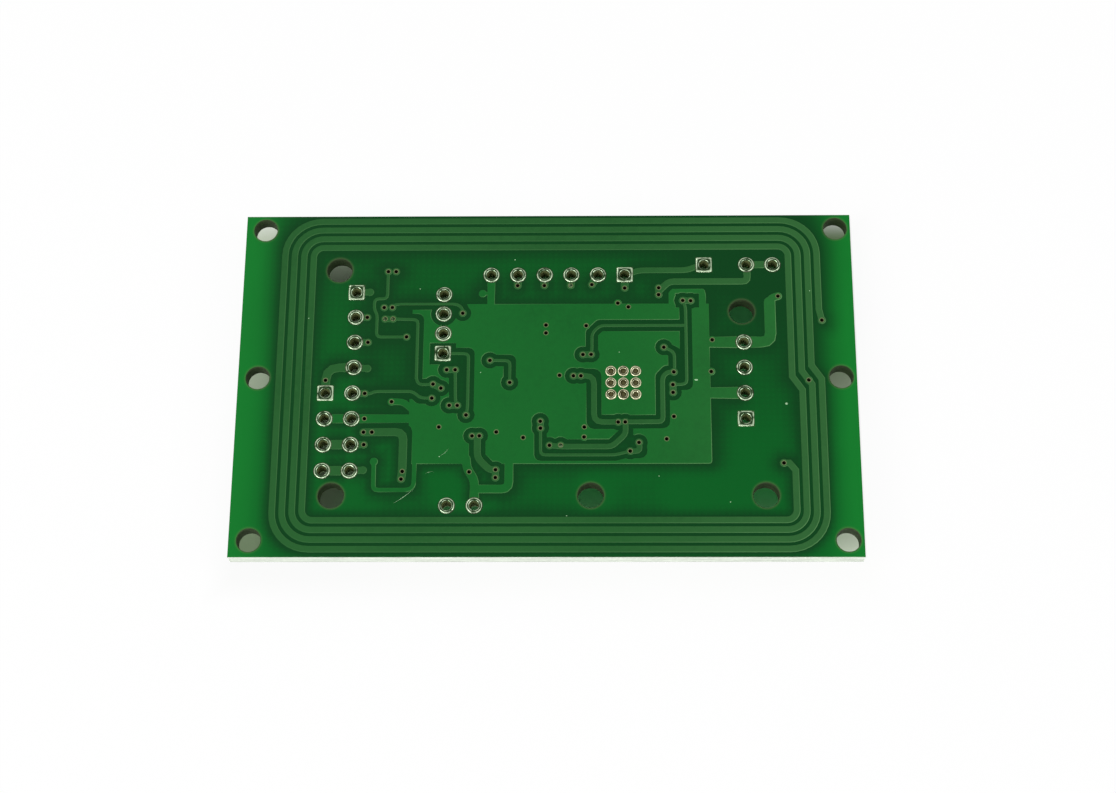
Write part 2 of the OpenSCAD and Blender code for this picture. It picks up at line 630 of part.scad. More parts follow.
all_vias = concat(ground_vias, signal_vias, plugged_vias, tented_vias, coil_vias);

module barrel_shapes() {
    at(all_vias) circle(d = via_d + 2 * plating);
}

module footprint_shapes(grow = 0) {
    for (j = joints) translate(j[0]) rotate(j[1])
        translate([-j[2] - grow, -j[3] / 2 - pad_room - grow])
            square([j[2] + j[5] + 2 * grow, j[3] + 2 * (pad_room + grow)]);
    translate(thermal_middle) square(exposed_side + 2 * grow, center = true);
}

// Vias that the component side's pour keeps clear of
lone_vias = concat(signal_vias, plugged_vias, tented_vias, coil_vias);

module component_track_shapes() {
    etched() {
        track_shapes(component_tracks);
        lands(lone_vias);
    }
}

component_pour_low = [-12.9, -8.1];
component_pour_high = [15.4, 12.9];
component_gap = 0.25;

module component_pour_shape() {
    etched() {
        difference() {
            translate(component_pour_low) square(component_pour_high - component_pour_low);
            footprint_shapes(component_gap);
            track_berths(component_tracks, component_gap);
            lands(lone_vias, component_gap);
            pin_shapes(all_pins, component_gap);
        }
        lands(ground_vias);
    }
}

// ---------------------------------------------------------------- building blocks

// What lies on the component side is drawn from the laminate's lower face downwards.
module below() {
    translate([0, 0, face_down]) mirror([0, 0, 1]) children();
}

module above() {
    translate([0, 0, face_up]) children();
}

module placed(place) {
    translate([place[0], place[1], 0]) rotate(place[2]) children();
}

// Solder mask: it fills the room between the copper and covers it all. Children 0 to 2 are the
// board, the copper and what the mask leaves open.
module mask_film() {
    linear_extrude(copper_t) difference() {
        children(0);
        children(1);
        children(2);
    }
    translate([0, 0, copper_t]) linear_extrude(mask_t) difference() {
        children(0);
        children(2);
    }
}

// How the solder's crown stands over a ring: in from its rim, then the two shoulders' heights
crown_in = 0.3;
crown_rim = 0.9;
crown_bore = 0.6;

// A plated hole, its rings of copper and the solder that crowns them, turned as one section
module eyelet(bore_r, outer_r, under_r, top_crown, under_crown) {
    low = face_down - copper_t;
    high = face_up + copper_t;
    rotate_extrude() polygon([
        [bore_r, low - under_crown],
        [(bore_r + under_r) / 2, low - under_crown],
        [under_r, low],
        [under_r, face_down],
        [bore_r + plating, face_down],
        [bore_r + plating, face_up],
        [outer_r, face_up],
        [outer_r, high],
        [outer_r - (outer_r - bore_r) * crown_in, high + top_crown * crown_rim],
        [(bore_r + outer_r) / 2, high + top_crown],
        [bore_r, high + top_crown * crown_bore],
    ]);
}

module square_ring(z) {
    translate([0, 0, z]) linear_extrude(copper_t) difference() {
        square(2 * pad_r, center = true);
        circle(d = pin_hole_d + 2 * plating);
    }
}

module header_pads(pins) {
    for (p = pins) translate(p) {
        eyelet(pin_hole_d / 2, pad_r, pad_r, crown, crown / 2);
        if (is_square(p)) {
            square_ring(face_up);
            square_ring(face_down - copper_t);
        }
    }
}

// The body of a moulded package: widest at its middle, with drafted sides
module moulded_body(size, bottom, draft = 0.12) {
    module section(w, long) {
        rotate([90, 0, 0]) linear_extrude(long, center = true) polygon([
            [-w / 2 + draft, bottom], [w / 2 - draft, bottom], [w / 2, bottom + size[2] / 2],
            [w / 2 - draft, bottom + size[2]], [-w / 2 + draft, bottom + size[2]],
            [-w / 2, bottom + size[2] / 2]
        ]);
    }
    intersection() {
        section(size[0], size[1] + 1);
        rotate(90) section(size[1], size[0] + 1);
    }
}

// A flat lead bent down from the side of a package onto its pad, reaching out along X
shoulder = 0.28;    // the part of a lead's reach that runs level from the package

module gull_wing(reach, drop, width, thickness) {
    rotate([90, 0, 0]) linear_extrude(width, center = true)
        polygon(ribbon([
            [0, seat + drop], [reach * shoulder, seat + drop],
            [reach - foot_l, seat + thickness / 2], [reach, seat + thickness / 2]
        ], thickness));
}

// The section of a flat strip of even thickness along the path p, cut square at its ends
function ribbon(p, t) =
    let (n = len(p))
    concat(
        [p[0] + t / 2 * normal(p[0], p[1])],
        beside(p, t / 2),
        [p[n - 1] + t / 2 * normal(p[n - 2], p[n - 1])],
        [p[n - 1] - t / 2 * normal(p[n - 2], p[n - 1])],
        backwards(beside(p, -t / 2)),
        [p[0] - t / 2 * normal(p[0], p[1])]
    );

// A chip part's body between its two end caps
module chip_body(size, cap) {
    translate([0, 0, seat + size[2] / 2]) cube([size[0] - 2 * cap, size[1], size[2]], center = true);
}

module chip_ends(size, cap) {
    for (side = [-1, 1]) translate([side * (size[0] - cap) / 2, 0, seat + size[2] / 2])
        cube([cap, size[1], size[2]], center = true);
}

// ---------------------------------------------------------------- the board

laminate_colour = [0.62, 0.6, 0.38];
copper_colour = [0.8, 0.5, 0.3];
solder_colour = [0.8, 0.8, 0.78];
mask_colour = [0.1, 0.42, 0.18];
mould_colour = [0.12, 0.12, 0.13];
tantalum_colour = [0.75, 0.6, 0.2];
ferrite_colour = [0.3, 0.3, 0.3];
ceramic_colour = [0.7, 0.55, 0.4];
lamp_colour = [0.9, 0.9, 0.85];

module laminate() {
    color(laminate_colour) translate([0, 0, face_down]) linear_extrude(board_t) difference() {
        board_shape();
        at(all_pins) circle(d = pin_hole_d + 2 * plating);
        at(thermal_pins) circle(d = thermal_d + 2 * plating);
        barrel_shapes();
    }
}

module solder_side_copper() {
    coil_shape();
    pour_shape();
    signal_shape();
}

module solder_side_openings() {
    pin_shapes(all_pins, mask_gap);
    at(thermal_pins) circle(r = thermal_r + mask_gap);
    at(concat(ground_vias, signal_vias, plugged_vias, coil_vias)) circle(d = via_d + 2 * plating);
    at(mount_holes) circle(d = mount_d + 2 * hole_relief);
    at(inner_holes) circle(d = inner_hole_d + 2 * hole_relief);
}

module solder_side_mask() {
    color(mask_colour) above() mask_film() {
        board_shape();
        solder_side_copper();
        solder_side_openings();
    }
}

module component_side_copper() {
    component_pour_shape();
    component_track_shapes();
}

module component_side_openings() {
    pin_shapes(all_pins, mask_gap);
    footprint_shapes(mask_gap);
    at(all_vias) circle(d = via_d + 2 * plating);
    at(mount_holes) circle(d = mount_d + 2 * hole_relief);
    at(inner_holes) circle(d = inner_hole_d + 2 * hole_relief);
}

module component_side_mask() {
    color(mask_colour) below() mask_film() {
        board_shape();
        component_side_copper();
        component_side_openings();
    }
}

module antenna_coil() {
    color(copper_colour) above() linear_extrude(copper_t) difference() {
        coil_shape();
        at(coil_vias) circle(d = via_d + 2 * plating);
    }
}

module ground_pour() {
    color(copper_colour) above() linear_extrude(copper_t) difference() {
        pour_shape();
        pin_shapes(all_pins);
        at(thermal_pins) circle(r = thermal_r);
        at(concat(ground_vias, tented_vias)) circle(d = via_d + 2 * plating);
    }
}

module signal_tracks() {
    color(copper_colour) above() linear_extrude(copper_t) difference() {
        signal_shape();
        pin_shapes(all_pins);
        at(concat(signal_vias, tented_vias, plugged_vias)) circle(d = via_d + 2 * plating);
    }
}

module component_side_pour() {
    color(copper_colour) below() linear_extrude(copper_t) difference() {
        component_pour_shape();
        footprint_shapes();
        barrel_shapes();
    }
}

module component_side_tracks() {
    color(copper_colour) below() linear_extrude(copper_t) difference() {
        component_track_shapes();
        footprint_shapes();
        pin_shapes(all_pins);
        barrel_shapes();
    }
}

module footprint_pads() {
    color(copper_colour) below() linear_extrude(copper_t) difference() {
        footprint_shapes();
        at(thermal_pins) circle(d = thermal_d + 2 * plating);
        barrel_shapes();
    }
}

// ---------------------------------------------------------------- plated holes

module serial_header_pads() {
    color(solder_colour) header_pads(serial_pins);
}

module io_header_pads() {
    color(solder_colour) header_pads(io_pins);
}

module option_header_pads() {
    color(solder_colour) header_pads(option_pins);
}

module output_header_pads() {
    color(solder_colour) header_pads(output_pins);
}

module programming_header_pads() {
    color(solder_colour) header_pads(programming_pins);
}

module indicator_pads() {
    color(solder_colour) header_pads(indicator_pins);
}

module power_pads() {
    color(solder_colour) header_pads(power_pins);
}

module thermal_vias() {
    color(solder_colour) for (p = thermal_pins) translate(p)
        eyelet(thermal_d / 2, thermal_r, thermal_d / 2 + plating, crown * 0.8, 0);
}

module via_barrels() {
    color(copper_colour) for (p = all_vias)
        translate([p[0], p[1], face_down - copper_t]) difference() {
            cylinder(h = board_t + 2 * copper_t, d = via_d + 2 * plating);
            translate([0, 0, -1]) cylinder(h = board_t + 2, d = via_d);
        }
}

plug_depth = 0.5;

module via_solder_plugs() {
    color(solder_colour) for (p = plugged_vias)
        translate([p[0], p[1], face_up + copper_t - plug_depth]) cylinder(h = plug_depth, d = via_d);
}

// ---------------------------------------------------------------- parts of the component side

// The fillet's curve, as parts of the toe it covers and of the height it climbs
fillet_curve = [[0.45, 0.2], [0.15, 0.55]];

// Solder under each terminal's foot, and a fillet that climbs its end
module solder_joints() {
    color(solder_colour) below() {
        for (j = joints) translate([j[0][0], j[0][1], 0]) rotate(j[1]) {
            translate([-j[2], -j[3] / 2, copper_t]) cube([j[2] + j[5], j[3], mask_t]);
            rotate([90, 0, 0]) linear_extrude(j[3], center = true) polygon([
                [0, seat], [j[5], seat],
                for (c = fillet_curve) [j[5] * c[0], seat + j[4] * c[1]],
                [0, seat + j[4]]
            ]);
        }
        translate([0, 0, copper_t]) linear_extrude(mask_t) difference() {
            translate(thermal_middle) square(exposed_side, center = true);
            at(thermal_pins) circle(d = thermal_d + 2 * plating);
        }
    }
}

// Printed outlines of the parts and headers, kept clear of everything that is soldered
module outline_of(place, size, line = legend_line) {
    translate([place[0], place[1]]) rotate(place[2]) difference() {
        square(size + [line, line], center = true);
        square(size - [line, line], center = true);
    }
}

module header_outline(pins, pitch, columns = 1, way = 0) {
    n = len(pins) / columns;
    middle = (pins[0] + pins[len(pins) - 1]) / 2;
    outline_of([middle[0], middle[1], way], [n * pitch, columns * pin_pitch]);
}

module printed_legend() {
    room = 0.15;
    beside_part = 0.5;
    past_ends = 1.2;
    controller_dot = [-4.3, 4.3];
    reader_dot = [-3, 3];
    color("white") below() translate([0, 0, seat]) linear_extrude(legend_t) difference() {
        union() {
            header_outline(serial_pins, pin_pitch);
            header_outline(io_pins, pin_pitch, 1, 90);
            header_outline(option_pins, pin_pitch, 2, 90);
            header_outline(output_pins, pin_pitch, 1, 90);
            header_outline(programming_pins, fine_pitch, 1, 90);
            header_outline(power_pins, pin_pitch);
            for (p = crystal_places) outline_of(p, [crystal_l + beside_part, crystal_w + beside_part]);
            for (p = tantalum_places)
                outline_of(p, [tantalum_l + past_ends, tantalum_w + beside_part]);
            outline_of(regulator_place, [regulator_l + beside_part, regulator_w + beside_part]);
            for (p = concat(capacitor_places, resistor_places, [lamp_place]))
                outline_of(p, [chip_l + past_ends, chip_w + beside_part]);
            for (p = inductor_places)
                outline_of(p, [inductor_size[0] + past_ends, inductor_size[1] + beside_part]);
            // A dot by the first pin of each chip
            placed(controller_place) translate(controller_dot) circle(d = 0.6);
            placed(reader_place) translate(reader_dot) circle(d = 0.5);
        }
        footprint_shapes(room);
        pin_shapes(all_pins, room);
        lands(all_vias);
        at(mount_holes) circle(d = mount_d + 2 * (hole_relief + room));
        at(inner_holes) circle(d = inner_hole_d + 2 * (hole_relief + room));
        for (p = crystal_places) placed(p) square([crystal_l, crystal_w], center = true);
    }
}

module crystal_bases() {
    color(mould_colour) below() for (p = crystal_places) placed(p) translate([0, 0, seat])
        linear_extrude(crystal_base) square([crystal_l, crystal_w], center = true);
}

// A drawn metal can with straight sides, round ends and a rounded rim
can_l = crystal_l - 1;
can_w = crystal_w - 0.9;
can_rim = 0.6;
flange = 0.3;       // how far the can's foot stands out
flange_h = 0.35;
flare_h = 0.5;      // where the foot has drawn in to the can's wall
RIM_STEPS = 6;

module can_section(from) {
    polygon(concat(
        [[from, 0], [can_w / 2 + flange, 0], [can_w / 2 + flange, flange_h], [can_w / 2, flare_h]],
        arc([can_w / 2 - can_rim, crystal_h - crystal_base - can_rim], can_rim, 0, 90, RIM_STEPS),
        [[from, crystal_h - crystal_base]]
    ));
}

module crystal_cans() {
    straight = can_l - can_w;
    color(solder_colour) below() for (p = crystal_places) placed(p)
        translate([0, 0, seat + crystal_base]) {
            for (side = [0, 1]) mirror([0, side, 0]) rotate([90, 0, 90])
                linear_extrude(straight, center = true) can_section(0);
            for (side = [-1, 1]) translate([side * straight / 2, 0, 0])
                rotate(-90 * side) rotate_extrude(angle = 180) can_section(0);
        }
}

crystal_lead_t = 0.2;

module crystal_leads() {
    color(solder_colour) below() for (p = crystal_places, side = [-1, 1]) placed(p)
        translate([side * (crystal_l + crystal_lead) / 2, 0, seat + crystal_lead_t / 2])
            cube([crystal_lead, crystal_lead_w, crystal_lead_t], center = true);
}

dimple = 0.05;      // depth of the dimple by a chip's first lead
standoff = 0.1;     // how far the controller's body stands off the board

module reader_chip() {
    color(mould_colour) below() placed(reader_place) difference() {
        translate([-reader_side / 2, -reader_side / 2, seat]) cube([reader_side, reader_side, reader_h]);
        translate([-1.8, 1.8, seat + reader_h - dimple]) cylinder(h = 1, d = 0.5);
        reader_terminal_shapes();
    }
}

module reader_terminal_shapes() {
    lead = [reader_lead_l, reader_lead_w, reader_lead_t];
    for (side = [0:3], i = [0:LEADS_A_SIDE - 1]) rotate(90 * side)
        translate([reader_side / 2 - reader_lead_l / 2, lead_spot(0, reader_pitch, 0, i)[1],
            seat + reader_lead_t / 2]) cube(lead, center = true);
    translate([0, 0, seat + reader_lead_t / 2])
        cube([exposed_side, exposed_side, reader_lead_t], center = true);
}

module reader_chip_terminals() {
    color(solder_colour) below() placed(reader_place) reader_terminal_shapes();
}

module controller() {
    color(mould_colour) below() placed(controller_place) difference() {
        moulded_body([controller_side, controller_side, controller_h - standoff], seat + standoff);
        translate([-2.6, 2.6, seat + controller_h - dimple]) cylinder(h = 1, d = 0.8);
    }
}

module controller_leads() {
    color(solder_colour) below() placed(controller_place)
        for (side = [0:3], i = [0:LEADS_A_SIDE - 1]) rotate(90 * side)
            translate([controller_side / 2, lead_spot(0, controller_pitch, 0, i)[1], 0])
                gull_wing(lead_reach, controller_h / 2, controller_lead_w, controller_lead_t);
}

module regulator() {
    color(mould_colour) below() placed(regulator_place)
        moulded_body([regulator_l, regulator_w, regulator_h], seat);
}

module regulator_leads() {
    color(solder_colour) below() placed(regulator_place) {
        for (i = [-1:1]) translate([i * regulator_pitch, -regulator_w / 2, 0]) rotate(-90)
            gull_wing(regulator_reach, regulator_h / 2, regulator_lead_w, regulator_lead_t);
        translate([0, regulator_w / 2, 0]) rotate(90)
            gull_wing(regulator_reach, regulator_h / 2, regulator_tab_w, regulator_lead_t);
    }
}

module tantalum_capacitors() {
    color(tantalum_colour) below() for (p = tantalum_places) placed(p) difference() {
        moulded_body([tantalum_l - 2 * tantalum_foot_t, tantalum_w, tantalum_h], seat, 0.08);
        tantalum_terminal_shapes();
    }
}

module tantalum_terminal_shapes() {
    for (side = [0, 1]) mirror([side, 0, 0]) {
        translate([tantalum_l / 2 - tantalum_foot_l, -tantalum_lead_w / 2, seat])
            cube([tantalum_foot_l, tantalum_lead_w, tantalum_foot_t]);
        translate([tantalum_l / 2 - tantalum_foot_t, -tantalum_lead_w / 2, seat])
            cube([tantalum_foot_t, tantalum_lead_w, tantalum_h / 2]);
    }
}

module tantalum_terminals() {
    color(solder_colour) below() for (p = tantalum_places) placed(p) tantalum_terminal_shapes();
}

module filter_inductors() {
    color(ferrite_colour) below() for (p = inductor_places) placed(p)
        chip_body(inductor_size, inductor_cap);
}

module inductor_terminals() {
    color(solder_colour) below() for (p = inductor_places) placed(p)
        chip_ends(inductor_size, inductor_cap);
}

module ceramic_capacitors() {
    color(ceramic_colour) below() for (p = capacitor_places) placed(p)
        chip_body([chip_l, chip_w, capacitor_h], capacitor_cap);
}

module capacitor_terminals() {
    color(solder_colour) below() for (p = capacitor_places) placed(p)
        chip_ends([chip_l, chip_w, capacitor_h], capacitor_cap);
}

module resistors() {
    color(mould_colour) below() for (p = resistor_places) placed(p)
        chip_body([chip_l, chip_w, resistor_h], resistor_cap);
}

module resistor_terminals() {
    color(solder_colour) below() for (p = resistor_places) placed(p)
        chip_ends([chip_l, chip_w, resistor_h], resistor_cap);
}

module status_lamp() {
    color(lamp_colour) below() placed(lamp_place) chip_body([chip_l, chip_w, lamp_h], lamp_cap);
}

module lamp_terminals() {
    color(solder_colour) below() placed(lamp_place) chip_ends([chip_l, chip_w, lamp_h / 2], lamp_cap);
}

laminate();
solder_side_mask();
component_side_mask();
antenna_coil();
ground_pour();
signal_tracks();
serial_header_pads();
io_header_pads();
option_header_pads();
output_header_pads();
programming_header_pads();
indicator_pads();
power_pads();
thermal_vias();
via_barrels();
via_solder_plugs();
component_side_pour();
component_side_tracks();
footprint_pads();
solder_joints();
printed_legend();
reader_chip();
reader_chip_terminals();
controller();
controller_leads();
crystal_cans();
crystal_bases();
crystal_leads();
regulator();
regulator_leads();
tantalum_capacitors();
tantalum_terminals();
filter_inductors();
inductor_terminals();
ceramic_capacitors();
capacitor_terminals();
resistors();
resistor_terminals();
status_lamp();
lamp_terminals();
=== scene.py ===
"""Finishes and fine forms of a small reader board with a printed aerial coil, round its fixed frame."""

import math

import bmesh
import bpy
from mathutils import Matrix, Vector, noise
from mathutils.bvhtree import BVHTree


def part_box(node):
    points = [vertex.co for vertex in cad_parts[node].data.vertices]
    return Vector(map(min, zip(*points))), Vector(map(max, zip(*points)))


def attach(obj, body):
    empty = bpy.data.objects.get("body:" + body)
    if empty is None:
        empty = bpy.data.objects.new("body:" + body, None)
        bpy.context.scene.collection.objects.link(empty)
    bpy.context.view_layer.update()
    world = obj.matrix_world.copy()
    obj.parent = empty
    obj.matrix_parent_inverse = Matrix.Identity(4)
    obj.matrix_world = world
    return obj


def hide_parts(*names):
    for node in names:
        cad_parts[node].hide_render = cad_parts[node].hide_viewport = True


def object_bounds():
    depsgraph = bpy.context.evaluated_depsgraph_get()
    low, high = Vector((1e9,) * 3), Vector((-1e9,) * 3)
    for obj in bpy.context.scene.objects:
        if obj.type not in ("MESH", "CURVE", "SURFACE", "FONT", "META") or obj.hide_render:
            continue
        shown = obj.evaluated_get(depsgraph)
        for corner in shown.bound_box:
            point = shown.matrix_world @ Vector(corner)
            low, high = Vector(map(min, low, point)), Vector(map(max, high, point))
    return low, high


bl_info = {
    "name": "Reader Board Finishes",
    "version": (1, 0, 0),
    "blender": (4, 5, 0),
    "location": "View3D > Sidebar > Reader Board",
    "description": "Solder mask, solder, laminate and part finishes of a reader board",
    "category": "Object",
}

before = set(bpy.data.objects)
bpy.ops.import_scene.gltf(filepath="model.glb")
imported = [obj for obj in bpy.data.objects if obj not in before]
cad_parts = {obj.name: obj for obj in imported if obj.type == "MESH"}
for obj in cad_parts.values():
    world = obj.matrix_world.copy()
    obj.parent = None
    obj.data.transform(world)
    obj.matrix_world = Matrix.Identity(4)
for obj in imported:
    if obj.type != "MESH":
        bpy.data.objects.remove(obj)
CAD_LOW, CAD_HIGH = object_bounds()

MM = 0.001
MERGE = 2e-7           # points this near, in metres, are one
FACE_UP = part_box("laminate")[1].z
FACE_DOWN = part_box("laminate")[0].z
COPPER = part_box("antenna_coil")[1].z - FACE_UP
BOARD_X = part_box("laminate")[1].x
BOARD_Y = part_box("laminate")[1].y
PLATING = 0.018 * MM   # thickness of the metal in a plated hole
RING_STEPS = 44        # faces round a soldered hole
DOME_STEPS = 18        # faces round a filled via

LIGHT = Vector((0.85, -0.53, 0))     # towards the light that the copper's edges catch
PART_SHADE = 0.4       # share of the light from below that a part keeps off the board above it
PART_REACH = 3 * MM    # how far beside the part that shade runs
VIA_REACH = 0.3 * MM   # openings in the mask are smaller than this round a via,
PLAIN_REACH = (0.9 * MM, 3 * MM)     # and between these round a plain hole
SQUARE_CORNER = 1.36   # reach of a square pad's rounded corner, in half sides
SQUARE_SHARES = (0.3, 0.85)          # where on the way from bore to rim the crown turns square

CAMERA_PLACE = (4.411, -66.276, 185.424)    # in millimetres
CAMERA_TURN = (19.82, 0.98, 0.24)           # in degrees
LENS = 66.03                                # on a 36 mm sensor

HEADERS = (
    "serial_header_pads", "io_header_pads", "option_header_pads", "output_header_pads",
    "programming_header_pads", "indicator_pads", "power_pads",
)
# Parts on the component side that keep light from the board above them
SHADING_PARTS = (
    "crystal_bases", "reader_chip", "controller", "regulator", "tantalum_capacitors", "filter_inductors",
)


# ---------------------------------------------------------------- sizes and colours

def paint(code):
    """A linear colour from its six-figure code."""
    parts = [int(code[i : i + 2], 16) / 255 for i in (0, 2, 4)]
    return tuple(c / 12.92 if c <= 0.04045 else ((c + 0.055) / 1.055) ** 2.4 for c in parts)


def length(name, text, millimetres):
    return bpy.props.FloatProperty(
        name=name, description=text, default=millimetres * MM, min=0, unit="LENGTH", subtype="DISTANCE"
    )


def tint(name, text, code):
    return bpy.props.FloatVectorProperty(
        name=name, description=text, default=paint(code), size=3, min=0, max=1, subtype="COLOR"
    )


class ReaderBoardSizes(bpy.types.PropertyGroup):
    bare_height: length("Mask on bare board", "How far the mask stands above the bare laminate", 0.04)
    flank: length("Mask flank", "Width of the slope where the mask climbs onto copper", 0.04)
    rim: length("Mask rim", "Width of the thin mask along the edge of the copper", 0.08)
    lip: length("Mask lip", "Width of the rounded mask round an opening", 0.09)
    lip_drop: length("Lip drop", "How far the mask's lip bends down", 0.015)
    hole_lip: length("Hole lip", "How far the mask's lip runs on towards a plain hole", 0.15)
    glow_reach: length("Glow reach", "How far from copper the bare board reaches full brightness", 2.2)
    glow_step: length("Glow step", "Distance between the cuts that carry the brightness", 0.8)
    solder_ripple: length("Solder ripple", "Height of the ripples on hot-levelled solder", 0.03)
    eased_edge: length("Eased edge", "Bevel along the edges of moulded and fired parts", 0.05)


class ReaderBoardColours(bpy.types.PropertyGroup):
    mask_copper: tint("Mask over the pour", "Mask where broad copper lies under it", "156828")
    mask_track: tint("Mask over tracks", "Mask where a narrow track lies under it", "28612E")
    # Painted shade: bare board beside copper, where less light comes through the board; also the darker
    # mottle over copper
    mask_gap_shade_and_mottle: tint("Mask in gaps", "Bare board close to copper", "064219")
    mask_bare: tint("Mask on bare board", "Bare board away from copper", "035E20")
    mask_lit: tint("Mask by the edges", "Bare board that light enters from the sides", "0F7A2A")
    # Partly the paler thin mask at an edge of copper, partly a painted highlight on edges that face the light
    mask_thin_and_highlight: tint("Thin mask", "Mask that is thin at an edge of copper", "6FA568")
    mask_lip: tint("Mask lip", "Mask that is thin round a hole", "7E8A5E")
    laminate: tint("Laminate edge", "Cut edge of the glass laminate", "ECF3E6")
    # Partly the resin, partly painted shade: the laminate darkened down a drilled hole
    bore_resin_and_shade: tint("Drilled wall", "Wall of a drilled hole", "3E5030")
    copper: tint("Copper", "Stained copper in the vias", "40321A")
    tin: tint("Tinned copper", "Copper under a thin skin of tin", "687052")
    # Painted highlight: the pale colour of the solder's crests
    solder: tint("Solder", "Bright crests of the solder", "D2EAC4")
    # Painted shade: the dark colour of the solder's hollows and skirts
    solder_hollow_shade: tint("Dull solder", "Hollows and skirts of the solder", "3A5A34")
    solder_bore: tint("Solder in a bore", "Dull solder and flux down a bore", "76804F")
    solder_cup: tint("Solder in a thermal via", "Thin solder on copper down a thermal via", "545028")
    # Painted highlight: the pale colour of the crests of the solder on the thermal vias
    thermal_solder_highlight: tint("Thermal solder", "Solder on the rings of the thermal vias", "F2F2C8")
    # Painted shade: the dark colour of the hollows of the solder on the thermal vias
    thermal_solder_shade: tint("Stained solder", "Hollows of the solder on the thermal vias", "4E4A28")
    dust: tint("Flecks", "Pale flecks and scratches on the mask", "A4CCA0")
    legend: tint("Legend ink", "Printed outlines", "E6E8E2")
    mould: tint("Chip mould", "Moulded chip bodies", "1B1C1E")
    lead: tint("Lead metal", "Plated leads and terminals", "BFC0BD")
    can: tint("Crystal can", "Drawn metal can of a crystal", "C9C9C4")
    tantalum: tint("Tantalum mould", "Moulded tantalum capacitors", "C79A3A")
    ferrite: tint("Ferrite", "Body of a filter inductor", "4A4641")
    ceramic: tint("Capacitor ceramic", "Fired body of a ceramic capacitor", "A98663")
    resistor: tint("Resistor film", "Glazed face of a resistor", "202226")
    lamp: tint("Lamp lens", "Cast lens of the status lamp", "E4E2C8")


def sizes():
    return bpy.context.scene.reader_board_sizes


def colours():
    return bpy.context.scene.reader_board_colours


# ---------------------------------------------------------------- shader building

class Link:
    """A socket whose arithmetic adds the nodes that work it out."""

    def __init__(self, finish, socket):
        self.finish, self.socket = finish, socket

    def work(self, operation, *terms):
        vector = any(
            isinstance(t, tuple) or (isinstance(t, Link) and t.socket.type != "VALUE") for t in terms
        )
        if vector:
            terms = [(t,) * 3 if isinstance(t, (int, float)) else t for t in terms]
        kind = "VectorMath" if vector else "Math"
        return self.finish.node(kind, {"operation": operation}, dict(enumerate(terms)))

    def __add__(self, other):
        return self.work("ADD", self, other)

    def __radd__(self, other):
        return self.work("ADD", other, self)

    def __sub__(self, other):
        return self.work("SUBTRACT", self, other)

    def __rsub__(self, other):
        return self.work("SUBTRACT", other, self)

    def __mul__(self, other):
        return self.work("MULTIPLY", self, other)

    def __rmul__(self, other):
        return self.work("MULTIPLY", other, self)

    def __abs__(self):
        return self.work("ABSOLUTE", self)

    def larger(self, other):
        return self.work("MAXIMUM", self, other)

    def smaller(self, other):
        return self.work("MINIMUM", self, other)

    def smooth(self, low, high):
        """0 at low and 1 at high, with a soft start and end."""
        inputs = {"Value": self, "From Min": low, "From Max": high}
        return self.finish.node("MapRange", {"interpolation_type": "SMOOTHSTEP"}, inputs)


class Finish:
    """A material, and the one way in which its nodes are made."""

    def __init__(self, name):
        self.material = bpy.data.materials.new(name)
        self.material.use_nodes = True
        self.tree = self.material.node_tree
        self.shader = self.tree.nodes["Principled BSDF"]
        self.place = self.node("TexCoord", output="Object")

    def node(self, kind, settings=None, inputs=None, output=0):
        """Adds a node: its settings first, then the values or links of its sockets."""
        made = self.tree.nodes.new("ShaderNode" + kind)
        for name, value in (settings or {}).items():
            setattr(made, name, value)
        self.plug(made, inputs or {})
        return Link(self, made.outputs[output])

    def plug(self, node, inputs):
        for name, value in inputs.items():
            if isinstance(value, Link):
                self.tree.links.new(value.socket, node.inputs[name])
            else:
                node.inputs[name].default_value = value

    def mix(self, first, second, share):
        full = [c if isinstance(c, Link) else (*c, 1) for c in (first, second)]
        return self.node("Mix", {"data_type": "RGBA"}, {0: share, 6: full[0], 7: full[1]}, 2)

    def attribute(self, name):
        return self.node("Attribute", {"attribute_name": name}, output="Fac")

    def axis(self, name):
        return self.node("SeparateXYZ", inputs={0: self.place}, output=name)

    def grain(self, size, detail=3.0, stretch=(1, 1, 1)):
        """Noise with features of that size in metres, drawn out along an axis by a stretch under 1."""
        place = self.place if stretch == (1, 1, 1) else self.place * stretch
        return self.node("TexNoise", inputs={"Vector": place, "Scale": 1 / size, "Detail": detail})

    def weave(self, pitch):
        """Two crossing sets of threads of the glass cloth."""
        threads = [
            self.node(
                "TexWave",
                {"wave_type": "BANDS", "bands_direction": direction},
                {"Vector": self.place, "Scale": 0.314 / pitch, "Distortion": 0.6, "Detail": 1.0},
                "Fac",
            )
            for direction in ("X", "Y")
        ]
        return threads[0] * threads[1]

    def bump(self, height, strength, distance):
        return self.node("Bump", inputs={"Strength": strength, "Distance": distance, "Height": height})

    def dress(self, constants, **varying):
        """Sets what is the same all over on the shader itself, and links what varies."""
        self.plug(self.shader, constants)
        names = {"colour": "Base Color", "roughness": "Roughness", "metallic": "Metallic", "normal": "Normal"}
        for key, value in varying.items():
            value = (*value, 1) if isinstance(value, tuple) else value
            self.plug(self.shader, {names[key]: value})
        return self.material


# ---------------------------------------------------------------- finishes

def speckled(name, colour, contrast, size, roughness, metallic=0.0, specular=0.5, bump=0.0):
    """A finish whose colour, gloss and surface vary with one grain, as most small parts show."""
    finish = Finish(name)
    grain = finish.grain(size, 4.0)
    broad = finish.grain(size * 9, 2.0)
    tone = (grain * 0.6 + broad * 0.4).smooth(0.3, 0.7)
    dark = tuple(c * (1 - contrast) for c in colour)
    light = tuple(min(1, c * (1 + contrast)) for c in colour)
    varying = {
        "colour": finish.mix(dark, light, tone),
        "roughness": roughness - 0.08 + tone * 0.16,
    }
    if bump:
        varying["normal"] = finish.bump(grain, bump, size * 0.4)
    return finish.dress({"Metallic": metallic, "Specular IOR Level": specular}, **varying)


